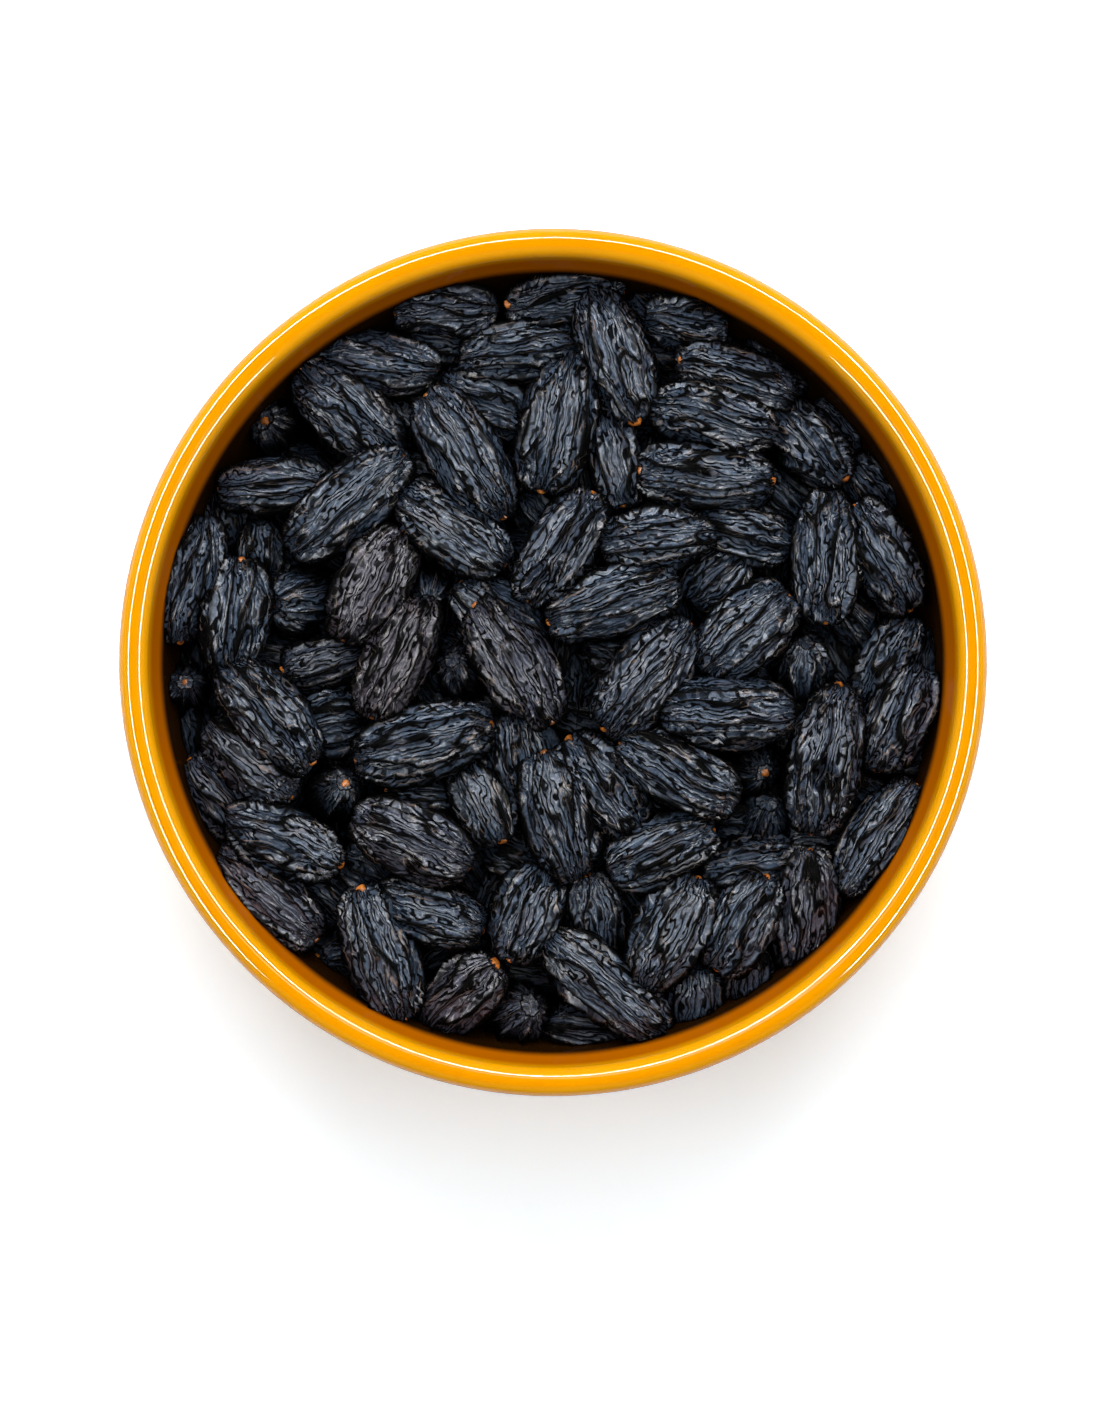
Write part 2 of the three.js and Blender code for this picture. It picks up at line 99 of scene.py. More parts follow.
# Each row is one raisin: its stem end x and y and its tip x and y in the photograph's pixels, its width
# in millimetres, how many millimetres its stem end and its tip lie below a raisin that rests flat on top
# of the heap, which ends keep a stub of stem (0 none, 1 the stem end, 2 the tip, 3 both), and how brown
# its skin is from 0 to 1.
STEM_STUB = 1
TIP_STUB = 2
TOP_RAISINS = [
    (404, 458, 297, 551, 10.5, -1, 0.5, 3, 0),
    (301, 370, 398, 456, 10, 0, 3, 1, 0),
    (595, 293, 635, 422, 10.5, 0, 0, 3, 0),
    (427, 397, 504, 518, 11, 0, 0, 3, 0),
    (572, 360, 541, 492, 10.5, 0, 0, 3, 0),
    (436, 371, 322, 360, 9.5, 1, 3.5, 1, 0),
    (507, 306, 622, 296, 7.5, 2, 3.5, 3, 0),
    (772, 435, 650, 405, 10, 0, 0, 1, 0),
    (772, 482, 640, 472, 10, 0, 0, 3, 0),
    (680, 362, 792, 398, 9.5, 0.5, 2, 1, 0),
    (373, 716, 425, 603, 10, 0, 0, 1, 0.7),
    (345, 639, 404, 534, 11, 0.5, 0, 3, 0.6),
    (824, 622, 824, 495, 10, 0, 0, 3, 0),
    (551, 722, 476, 605, 10.5, 0, 0, 3, 0.4),
    (673, 583, 549, 622, 10.5, 0, 0.5, 3, 0),
    (688, 624, 603, 728, 11, 0.5, 0, 3, 0.1),
    (787, 597, 700, 668, 11, 0, 1.5, 1, 0),
    (491, 724, 358, 760, 11, 0.5, 0.5, 3, 0),
    (314, 762, 230, 668, 10, 0, 0, 1, 0),
    (837, 684, 810, 832, 11, 0, 0, 3, 0.1),
    (544, 752, 575, 877, 10.5, 0, 0, 3, 0),
    (733, 803, 621, 742, 10, 0, 0, 3, 0),
    (662, 712, 789, 715, 10.5, 0, 0, 3, 0),
    (468, 867, 360, 812, 11, 0, 0, 1, 0.3),
    (362, 888, 403, 1018, 11, 0, 0, 3, 0),
    (697, 877, 644, 984, 10.5, 0, -0.5, 3, 0),
    (548, 938, 661, 1030, 11, 1, 1.5, 1, 0),
    (710, 534, 600, 542, 9, 0, 0, 1, 0),
    (592, 494, 530, 601, 10, 0, 0, 3, 0.1),
    (504, 565, 398, 492, 10.5, 1, 2, 1, 0),
    (765, 875, 716, 967, 10, 0, 0, 3, 0),
    (342, 864, 231, 817, 9.5, 0, 0.5, 3, 0),
    (219, 856, 317, 938, 10, 0.5, 1, 3, 0.3),
    (291, 797, 213, 725, 10, 3, 3.5, 3, 0.2),
    (181, 642, 207, 520, 9.5, 1.5, 1, 1, 0),
    (232, 670, 243, 560, 10, 1, 0, 3, 0),
    (222, 490, 330, 487, 8, 2, 3.5, 1, 0),
    (397, 314, 497, 309, 7.5, 2, 2, 1, 0.1),
    (463, 362, 577, 345, 9, 3, 4, 1, 0),
    (724, 328, 646, 320, 8.5, 2, 2.5, 1, 0),
    (844, 480, 768, 408, 9.5, 2, 5, 1, 0),
    (907, 610, 852, 508, 10, 1, 1, 3, 0),
    (875, 769, 922, 668, 9.5, 1, 1.5, 1, 0.1),
    (914, 785, 842, 889, 9.5, 1, 1, 3, 0),
    (808, 850, 796, 966, 10, 0.5, 4, 1, 0.3),
    (568, 738, 636, 826, 10.5, 2, 1.5, 3, 0),
    (712, 829, 610, 868, 10, 1.5, 1, 3, 0),
    (510, 958, 543, 868, 10, 0.5, 2.5, 1, 0),
    (494, 962, 425, 1022, 10.5, 0, 5, 1, 0.5),
    (502, 838, 465, 762, 9.5, 2, 5, 1, 0),
    (787, 546, 692, 522, 9, 3, 5, 1, 0),
    (482, 930, 380, 893, 9.5, 2, 4.5, 1, 0),
    (793, 850, 702, 872, 8, 4, 4.5, 0, 0),
    (588, 874, 602, 955, 9, 3, 8, 1, 0),
    (528, 1003, 498, 1022, 10.5, 1, 14, 0, 0.3),
    (740, 555, 690, 600, 9.5, 4, 6, 0, 0),
]
LOWER_RAISINS = [
    (266, 422, 296, 444, 9, 2, 16, 1, 0.2),
    (442, 388, 530, 425, 9.5, 5, 5, 0, 0),
    (622, 506, 605, 415, 7.5, 4, 5, 1, 0),
    (628, 300, 672, 345, 8, 6, 7, 0, 0),
    (812, 408, 854, 452, 8.5, 8, 7, 0, 0),
    (262, 522, 262, 580, 7, 5, 9, 0, 0),
    (274, 604, 334, 596, 10, 3, 11, 1, 0),
    (428, 606, 432, 572, 7, 4, 13, 1, 0),
    (284, 670, 365, 652, 7, 6, 7, 1, 0.2),
    (187, 683, 199, 700, 9, 2, 17, 1, 0.1),
    (461, 585, 540, 650, 10, 3, 6, 1, 0),
    (803, 640, 797, 705, 8.5, 3, 11, 0, 0),
    (908, 620, 858, 705, 9, 4, 6, 0, 0),
    (192, 760, 243, 828, 9.5, 4, 5, 1, 0.2),
    (347, 783, 320, 812, 9, 2, 16, 1, 0),
    (362, 718, 300, 728, 10, 6, 5, 0, 0),
    (388, 790, 455, 800, 8, 6, 8, 1, 0),
    (454, 660, 480, 692, 9, 3, 15, 0, 0.2),
    (514, 712, 530, 795, 10.5, 4, 5, 0, 0),
    (764, 772, 738, 766, 9, 3, 17, 1, 0),
    (766, 802, 757, 838, 7, 5, 12, 0, 0),
    (317, 957, 352, 942, 7.5, 7, 12, 1, 0),
    (693, 1024, 697, 962, 8.5, 6, 4, 0, 0),
    (744, 1000, 748, 945, 8, 7, 4, 0, 0.1),
    (545, 1022, 625, 1036, 8.5, 7, 7, 0, 0.2),
    (640, 345, 692, 352, 7, 8, 9, 0, 0),
    (850, 462, 888, 508, 7.5, 6, 8, 0, 0),
    (930, 632, 926, 690, 6.5, 8, 8, 0, 0),
    (835, 598, 872, 640, 7, 8, 9, 0, 0),
    (757, 478, 800, 520, 7.5, 9, 9, 0, 0),
    (398, 338, 470, 345, 7, 7, 7, 0, 0),
    (560, 566, 600, 592, 7.5, 7, 8, 0, 0),
]
DEEP_RAISINS = [
    (380, 408, 422, 442, 7, 8, 8, 0, 0),
    (742, 348, 800, 392, 8, 8, 8, 0, 0),
    (222, 488, 237, 545, 7, 8, 9, 0, 0),
    (520, 495, 548, 535, 7, 8, 9, 0, 0),
    (583, 645, 640, 662, 7, 8, 9, 0, 0),
    (295, 690, 350, 680, 6.5, 9, 9, 0, 0),
    (185, 700, 200, 765, 7.5, 10, 10, 0, 0),
    (205, 795, 240, 858, 7.5, 9, 10, 0, 0),
    (345, 850, 388, 880, 7.5, 8, 8, 0, 0),
    (570, 655, 580, 725, 7.5, 10, 11, 0, 0),
    (640, 780, 695, 805, 7.5, 6, 7, 0, 0),
    (480, 850, 545, 865, 8.5, 9, 9, 0, 0),
    (715, 825, 768, 832, 7, 9, 9, 0, 0),
    (842, 778, 880, 802, 6, 8, 9, 0, 0),
    (838, 885, 852, 935, 8, 10, 10, 0, 0),
    (785, 836, 842, 840, 7, 8, 8, 0, 0),
    (308, 885, 345, 918, 8, 6, 8, 0, 0),
    (612, 885, 642, 930, 7.5, 8, 9, 0, 0),
    (695, 652, 765, 672, 8, 9, 9, 0, 0),
    (400, 470, 445, 482, 6.5, 9, 9, 0, 0),
    (535, 312, 585, 325, 7, 9, 9, 0, 0),
    (650, 368, 695, 378, 7, 11, 11, 0, 0),
    (885, 760, 925, 752, 6.5, 8, 8, 0, 0),
]
FIRST_LOWER_SEED = 101
FIRST_DEEP_SEED = 201
FIRST_HIDDEN_SEED = 500

# Raisins on top whose stubs of stem are larger than the others', by number
LARGE_STUBS = {3: 1.6, 25: 1.35, 49: 1.5, 50: 1.5}

# Round pits in the skins of raisins on top, by number: x and y in the photograph's pixels, then the
# radius and the depth in millimetres
PITS = {20: (823, 777, 2.3, 3.0)}

# The hidden raisins: their rows to each side of the middle, and their spacing, size, depth and play
HIDDEN_DRAW = 11
HIDDEN_ROWS = 6
HIDDEN_SPACING = 11.5 * MM
HIDDEN_ROW_PITCH = 0.87
HIDDEN_LENGTH = 18 * MM
HIDDEN_WIDTH = 9.5 * MM
HIDDEN_DEPTH = 9.3 * MM
HIDDEN_SUNK = 11 * MM
HIDDEN_PLAY = 2 * MM
HIDDEN_FROM_WALL = 8 * MM

# Facets around and along a raisin of each lower layer
LOWER_FACETS = (72, 34)
DEEP_FACETS = (48, 26)
HIDDEN_FACETS = (36, 20)

# Points along each curve of the bowl's outline
BEAD_STEPS = 20
OUTER_STEPS = 30
INNER_STEPS = 34

# The plain spindle that each raisin grows from: how far its facets crowd on the upper side, how blunt
# its ends are, and the powers that round its girth and its ends
CROWDING = 0.45
BLUNTNESS = 0.10
GIRTH_POWER = 0.88
END_POWER = 0.9
WELD = 1e-5

# The pattern of the wrinkles, laid out in millimetres on the skin. Folds and ridges are waves whose
# crests run lengthwise; drifts bend and break them. A rise is where a wave climbs from its crease.
ARC_STRETCH = 1.15
GIRTH_LOSS = -0.45
SEED_STEP = (31.7, 17.3, 11.9)
COLLAR_PLAY = 1.2
COLLAR_PLAY_SCALE = 0.5
FOLDS_PER_MM = 0.34
FOLD_DRIFT = 3.6
FOLD_DRIFT_SCALE = (0.09, 0.24, 1.0)
FOLD_RISE = (0.0, 0.24)
FOLD_LEVEL = (0.6, 0.4)
RIDGES_PER_MM = 1.2
RIDGE_DRIFT = 4.6
RIDGE_DRIFT_SCALE = (0.30, 0.55, 1.0)
RIDGE_WAVER = 1.2
RIDGE_WAVER_SCALE = (0.85, 0.6, 1.0)
RIDGE_RISE = (0.0, 0.42)
END_FADE = (1.2, 2.6, 0.25, 1.0)

# How the pattern shapes a raisin: the heights that stay level, the collar's groove, how far the whole
# raisin strays from its spindle, and how folds and ridges share in the relief
FOLD_LEVEL_HEIGHT = 0.62
RIDGE_LEVEL_HEIGHT = 0.75
COLLAR_GROOVE = (1.45, 1.6, 0.4)
COLLAR_GROOVE_HEIGHT = -0.35 * MM
LEAN_SCALE = 0.075
LEAN_REACH = 2.6
FOLD_RELIEF = 0.6
RIDGE_RELIEF = 0.4

# Stubs of stem
STUB_RADIUS = 0.72 * MM
STUB_SUNK = 0.25 * MM
STUB_ROUGH_SCALE = 1100.0
STUB_ROUGH_REACH = 0.7 * MM
STUB_SUBDIVISIONS = 3

# Where the skin's pattern gets painted shade in its creases and a painted highlight on its lips: low, high
# and, for a lip, its edge
FOLD_CREASE = (0.045, 0.10)
RIDGE_CREASE = (0.12, 0.26)
RIDGE_CREASE_DEPTH = (0.35, 0.55, 0.7, 1.0)
RIDGE_CREASE_SCALE = 0.3
COLLAR_CREASE = (1.4, 1.55, 0.2)
FOLD_LIP = (0.12, 0.135, 0.015)
RIDGE_LIP = (0.31, 0.33, 0.035)
COLLAR_LIP = (1.1, 1.2, 0.15)
RIDGE_LIP_SHARE = 0.7
COLLAR_LIP_SHARE = 0.5
LIP_PATCHES = (0.5, 0.62)
LIP_PATCH_SCALE = 0.45
LIP_STRENGTH = (0.7, 0.06)
CREASE_PAINTED_SHADE = -0.97

# The skin's fine structure: scales of its noises per millimetre, and what they do to tint and relief
GRAIN_SCALE = (1.4, 4.0, 1.0)
GRAIN_ROUGHNESS = 0.6
GRAIN_TINT = (0.25, 0.75, 0.75, 1.25)
GRAIN_MATT = (0.2, 0.8, 0.45, 0.65)
GRAIN_GLOSS = (0.3, 0.7, 0.5, 0.95)
GRAIN_HEIGHT = 0.3
SPECKLE_SCALE = 3.2
SPECKLE_TINT = (0.3, 0.7, 0.55, 1.5)
SPECKLE_HEIGHT = 0.5
LIP_HEIGHT = 0.5
PATCH_SCALE = 0.22
PATCH_BROWN = (0.58, 0.78, 0.0, 0.45)
# Painted shade where the relief lies low, and a painted highlight on lips where it lies high
HIGH_RELIEF = (0.22, 0.6)
RELIEF_PAINTED_SHADE = (0.9, 0.1)
RELIEF_PAINTED_HIGHLIGHT = (0.6, 0.3)
SKIN_BUMP = 0.35 * MM
SKIN_COAT_ROUGHNESS = 0.3
SKIN_SPECULAR = 0.02

# Painted shade on the skin: darker down a raisin's flanks, with the raisin's depth in the heap, and in a
# pit
FLANK_SHADE = (-1.5 * MM, 2.5 * MM, 1.0, 0.02)
DEPTH_SHADE = (0.0, 12 * MM, 1.0, 0.2)
PIT_SHADE = -0.95
PIT_MIDDLE = 0.3
PIT_FLATNESS = 4
PIT_EDGE = 8

# Dried stem: fineness of its grain, how that and its age tint it
STEM_GRAIN_SCALE = 900.0
STEM_GRAIN_TINT = (0.25, 0.75, 0.45, 1.4)
STEM_AGE_TINT = (0.0, 1.0, 0.55, 1.4)

# The glaze. How far across the bead a place lies goes from -1 at its inner side to 1 at its outer side.
CROWN_ACROSS = (0.12, 0.62)
WORN_ACROSS = (0.22, 0.32)
OUTER_ACROSS = (0.7, 1.0, 0.0, 0.35)
FOOT_POOLING = (3 * MM, 16 * MM, 0.7, 0.0)
RIM_HEIGHTS = (BOWL_HEIGHT - 4 * MM, BOWL_HEIGHT - 2 * MM)
# Inner wall: darker glaze below the rim, partly pooled glaze and partly painted shade, then near-black
# painted shade lower down
WALL_POOL_AND_SHADE_HEIGHTS = (BOWL_HEIGHT - 6 * MM, BOWL_HEIGHT - 1.5 * MM)
PAINTED_SHADE_HEIGHTS = (BOWL_HEIGHT - 13.5 * MM, BOWL_HEIGHT - 9.5 * MM)
CLAY_HEIGHTS = (0.2 * MM, 0.9 * MM)
CROWN_THICKNESS = 0.45
WALL_POOL_AND_SHADE_THICKNESS = 1.1
STREAK_SCALE = (60.0, 60.0, 25.0)
STREAK_THICKNESS = 0.45
MOTTLE_SCALE = 420.0
MOTTLE_THICKNESS = 0.2
GLAZE_MATT = (0.3, 0.7, 0.1, 0.2)
MATT_BELOW_RIM = 0.5
WALL_DULLNESS = 0.85
GLAZE_COAT_ROUGHNESS = 0.03
GLAZE_COAT_IOR = 1.6
RIPPLE_SCALE = 140.0
GLAZE_BUMP_STRENGTH = 0.25
GLAZE_BUMP_DEPTH = 0.25 * MM
CLAY_COLOUR = (0.62, 0.47, 0.34)
GRIT_SCALE = 2600.0
GRIT_TINT = (0.2, 0.8, 0.75, 1.15)
GRIT_HEIGHT = 0.5

# Each row is one lamp: its name, its heading and elevation in degrees and its distance in metres from the
# middle of the rim, its width and height in metres, its share of the key or strip power, and whether
# matt and shiny surfaces show its light
KEY_LAMPS = (
    ("top softbox", 90, 82, 1.3, (1.0, 1.0), 0.45, True, True),
    ("back softbox", 90, 50, 1.2, (1.0, 0.4), 0.5, True, False),
    ("left softbox", 180, 40, 1.0, (0.6, 0.4), 0.1, True, False),
    ("right softbox", 0, 40, 1.0, (0.6, 0.4), 0.1, True, False),
)
STRIP_LAMPS = (
    ("left strip", 180, 47, 0.9, (1.3, 0.085), 1.0, False, True),
    ("right strip", 0, 47, 0.9, (1.3, 0.085), 1.0, False, True),
    ("back strip", 90, 47, 0.9, (1.3, 0.085), 1.0, False, True),
)
COOL = (0.95, 0.98, 1.0)
NEUTRAL = (1.0, 1.0, 1.0)
NEAREST_SEEN = 0.01


class BowlSettings(bpy.types.PropertyGroup):
    """Sizes and glaze of the bowl."""

    sides: IntProperty(name="Sides", description="Facets around the bowl", default=256, min=24)
    # Near-black painted shade down the inner wall, where the heap shades it
    wall_painted_shade: FloatVectorProperty(
        name="Painted wall shade", description="Colour of the glaze down the wall, where the fruit has darkened it",
        subtype="COLOR", size=4, default=(0.02, 0.007, 0.001, 1), min=0, max=1,
    )
    glaze: FloatVectorProperty(
        name="Glaze", description="Colour of the glaze where it lies thin and bright",
        subtype="COLOR", size=4, default=(1.0, 0.41, 0.0, 1), min=0, max=1,
    )
    # The pooled colour also gives the inner wall its darker glaze, which is partly painted shade
    pooled: FloatVectorProperty(
        name="Pooled glaze", description="Colour of the glaze where it has run thick",
        subtype="COLOR", size=4, default=(0.74, 0.185, 0.0, 1), min=0, max=1,
    )


class RaisinSettings(bpy.types.PropertyGroup):
    """Fineness, folds and colours of the raisins."""

    columns: IntProperty(
        name="Columns", description="Facets around a raisin on top of the heap", default=96, min=12,
    )
    rings: IntProperty(
        name="Rings", description="Facets along a raisin on top of the heap", default=46, min=8,
    )
    fold_height: FloatProperty(
        name="Fold height", description="Height between the broad folds and the lines between them",
        subtype="DISTANCE", unit="LENGTH", default=1.9 * MM, min=0,
    )
    ridge_height: FloatProperty(
        name="Ridge height", description="Height between the narrow ridges and the lines between them",
        subtype="DISTANCE", unit="LENGTH", default=0.5 * MM, min=0,
    )
    bloom: FloatVectorProperty(
        name="Bloom", description="Colour of the slate-blue bloom on the folds", subtype="COLOR", size=4,
        default=(0.051, 0.075, 0.116, 1), min=0, max=1,
    )
    brown: FloatVectorProperty(
        name="Brown skin", description="Colour of the skin where it is purplish brown",
        subtype="COLOR", size=4, default=(0.078, 0.055, 0.066, 1), min=0, max=1,
    )
    # Tan colour of the crests, painted on the lips as a thin highlight
    crest_and_highlight: FloatVectorProperty(
        name="Crests", description="Colour of the thin crests of the wrinkles", subtype="COLOR", size=4,
        default=(0.34, 0.25, 0.20, 1), min=0, max=1,
    )
    stem: FloatVectorProperty(
        name="Stem", description="Colour of the dried stubs of stem", subtype="COLOR", size=4,
        default=(0.52, 0.16, 0.026, 1), min=0, max=1,
    )


class StageSettings(bpy.types.PropertyGroup):
    """Floor and light around the bowl."""

    floor: FloatVectorProperty(
        name="Floor", description="Colour of the floor", subtype="COLOR", size=4,
        default=(0.84, 0.89, 0.93, 1), min=0, max=1,
    )
    glow: FloatProperty(
        name="Glow", description="How many times brighter the floor looks than it lights the bowl",
        default=1.62, min=0,
    )
    floor_size: FloatProperty(
        name="Floor size", description="Length of the floor's sides", subtype="DISTANCE", unit="LENGTH",
        default=6, min=0,
    )
    key_power: FloatProperty(
        name="Key power", description="Power that the large soft lights take shares of", unit="POWER",
        default=20, min=0,
    )
    strip_power: FloatProperty(
        name="Strip power", description="Power of each strip light", unit="POWER", default=12, min=0,
    )
    fill: FloatProperty(
        name="Fill", description="Strength of the even light from all around", default=0.1, min=0,
    )


# Node trees


class Net:
    """Adds nodes to a tree and links them."""

    def __init__(self, tree):
        self.tree = tree
        self.placed = 0

    def add(self, kind, *values, settings=None, **named):
        """One node. values fill its inputs in order, and named fills them by name, with _ for a space."""
        node = self.tree.nodes.new(kind)
        node.location = (200 * (self.placed // 8), -180 * (self.placed % 8))
        self.placed += 1
        for key, value in (settings or {}).items():
            setattr(node, key, value)
        for place, value in enumerate(values):
            self.feed(node.inputs[place], value)
        for key, value in named.items():
            self.feed(node.inputs[key.replace("_", " ")], value)
        return node

    def feed(self, socket, value):
        """Links a value's socket to an input, or sets the input to a plain value."""
        if isinstance(value, bpy.types.NodeSocket):
            self.tree.links.new(value, socket)
        elif value is not None:
            socket.default_value = value

    def math(self, operation, *values, clamp=False):
        settings = {"operation": operation, "use_clamp": clamp}
        return self.add("ShaderNodeMath", *values, settings=settings).outputs[0]

    def vector(self, operation, *values):
        return self.add("ShaderNodeVectorMath", *values, settings={"operation": operation}).outputs[0]

    def scaled(self, vector, factor):
        settings = {"operation": "SCALE"}
        return self.add("ShaderNodeVectorMath", vector, settings=settings, Scale=factor).outputs[0]

    def xyz(self, x, y, z):
        return self.add("ShaderNodeCombineXYZ", x, y, z).outputs[0]

    def split(self, vector):
        return self.add("ShaderNodeSeparateXYZ", vector).outputs

    def ramp(self, value, low, high, to_low=0.0, to_high=1.0):
        """A smooth step from low to high."""
        settings = {"interpolation_type": "SMOOTHSTEP"}
        node = self.add("ShaderNodeMapRange", value, low, high, to_low, to_high, settings=settings)
        return node.outputs["Result"]

    def noise(self, vector, scale=1.0, detail=2.0, roughness=0.5):
        """Value and colour of a noise."""
        node = self.add(
            "ShaderNodeTexNoise", Vector=vector, Scale=scale, Detail=detail, Roughness=roughness,
        )
        return node.outputs[0], node.outputs[1]

    def stray(self, vector, scale, detail, reach):
        """A vector that strays to all sides of nothing by about reach."""
        colour = self.noise(vector, scale, detail)[1]
        return self.vector("MULTIPLY", self.vector("SUBTRACT", colour, (0.5, 0.5, 0.5)), reach)

    def random(self, value):
        """A random number from 0 to 1 that value picks."""
        return self.add("ShaderNodeTexWhiteNoise", settings={"noise_dimensions": "1D"}, W=value).outputs[0]

    def centred(self, value, middle=0.5):
        """How far value lies above middle."""
        return self.math("SUBTRACT", value, middle)

    def blend(self, factor, one, other):
        """A colour that goes from one to the other as factor goes from 0 to 1."""
        node = self.add("ShaderNodeMix", settings={"data_type": "RGBA"})
        factor_input, one_input, other_input, colour_output = 0, 6, 7, 2
        self.feed(node.inputs[factor_input], factor)
        self.feed(node.inputs[one_input], one)
        self.feed(node.inputs[other_input], other)
        return node.outputs[colour_output]


def new_group(name, kind, inputs, outputs):
    """A node group with named sockets, its net, its inputs' sockets by name and its output node."""
    tree = bpy.data.node_groups.new(name, kind)
    for label, socket in inputs:
        tree.interface.new_socket(name=label, in_out="INPUT", socket_type=socket)
    for label, socket in outputs:
        tree.interface.new_socket(name=label, in_out="OUTPUT", socket_type=socket)
    net = Net(tree)
    entry = net.add("NodeGroupInput")
    exit_node = net.add("NodeGroupOutput")
    return tree, net, entry.outputs, exit_node.inputs


# Raisins


def heap_height(x, y):
    """Height of the heap's upper surface at a place in the bowl."""
    outward = min(1, (x * x + y * y) / (RIM_RADIUS - WALL_THICKNESS) ** 2)
    return BOWL_HEIGHT - CROWN_BELOW_RIM - (EDGE_BELOW_RIM - CROWN_BELOW_RIM) * outward


def place_of(pixel_x, pixel_y, width, drop):
    """A place in the photograph as a point in the bowl, drop below the top layer's axis."""
    x = (pixel_x - PHOTO_CENTRE_X) * METRES_PER_PIXEL
    y = (PHOTO_CENTRE_Y - pixel_y) * METRES_PER_PIXEL
    z = heap_height(x, y) - FLATNESS * width / 2 - drop
    farther = 1 + (BOWL_HEIGHT - z) / CAMERA_ABOVE_RIM
    return Vector((x * farther, y * farther, z))


def raisin_from_row(row, seed):
    """What a raisin's shape is made from, read off its row."""
    stem_x, stem_y, tip_x, tip_y, width, stem_drop, tip_drop, stubs, brown = row
    return {
        "stem": place_of(stem_x, stem_y, width * MM, stem_drop * MM),
        "tip": place_of(tip_x, tip_y, width * MM, tip_drop * MM),
        "width": width * MM,
        "stubs": stubs,
        "brown": brown,
        "sunk": max(0, min(stem_drop, tip_drop)) * MM,
        "seed": seed,
    }


def hidden_raisins():
    """Raisins under the ones that were read off the photograph, each one turned at random."""
    draw = random.Random(HIDDEN_DRAW)
    found = []
    reach = RIM_RADIUS - WALL_THICKNESS - HIDDEN_FROM_WALL
    for row in range(-HIDDEN_ROWS, HIDDEN_ROWS + 1):
        for column in range(-HIDDEN_ROWS, HIDDEN_ROWS + 1):
            x = (column + 0.5 * (row % 2)) * HIDDEN_SPACING
            y = row * HIDDEN_SPACING * HIDDEN_ROW_PITCH
            heading = draw.uniform(0, math.pi)
            tilt = draw.uniform(-HIDDEN_PLAY, HIDDEN_PLAY)
            lower = draw.uniform(0, HIDDEN_PLAY)
            if math.hypot(x, y) > reach:
                continue
            arm = Vector((math.cos(heading), math.sin(heading), 0)) * HIDDEN_LENGTH / 2
            z = heap_height(x, y) - HIDDEN_DEPTH - HIDDEN_WIDTH / 2 - lower
            middle = Vector((x, y, z))
            lift = Vector((0, 0, tilt))
            found.append({
                "stem": middle + arm + lift,
                "tip": middle - arm - lift,
                "width": HIDDEN_WIDTH,
                "stubs": 0,
                "brown": 0,
                "sunk": HIDDEN_SUNK,
                "seed": FIRST_HIDDEN_SEED + len(found),
            })
    return found


def raisin_points(name, raisins):
    """One loose vertex for each raisin, with what its shape is made from."""
    mesh = bpy.data.meshes.new(name)
    mesh.from_pydata([(one["stem"] + one["tip"]) / 2 for one in raisins], [], [])
    arms = [(one["stem"] - one["tip"]) / 2 for one in raisins]
    halves = [
        (one["width"] / 2, arm.length, FLATNESS * one["width"] / 2) for one, arm in zip(raisins, arms)
    ]
    vectors = {"direction": [arm.normalized() for arm in arms], "half_size": halves}
    numbers = {
        "seed": [one["seed"] for one in raisins],
        "brown": [one["brown"] for one in raisins],
        "sunk": [one["sunk"] for one in raisins],
        "stem_stub": [1 if one["stubs"] & STEM_STUB else 0 for one in raisins],
        "tip_stub": [1 if one["stubs"] & TIP_STUB else 0 for one in raisins],
        "stub_size": [LARGE_STUBS.get(one["seed"], 1.0) for one in raisins],
    }
    for label, values in vectors.items():
        flat = [part for value in values for part in value]
        mesh.attributes.new(label, "FLOAT_VECTOR", "POINT").data.foreach_set("vector", flat)
    for label, values in numbers.items():
        flat = [float(value) for value in values]
        mesh.attributes.new(label, "FLOAT", "POINT").data.foreach_set("value", flat)
    return mesh


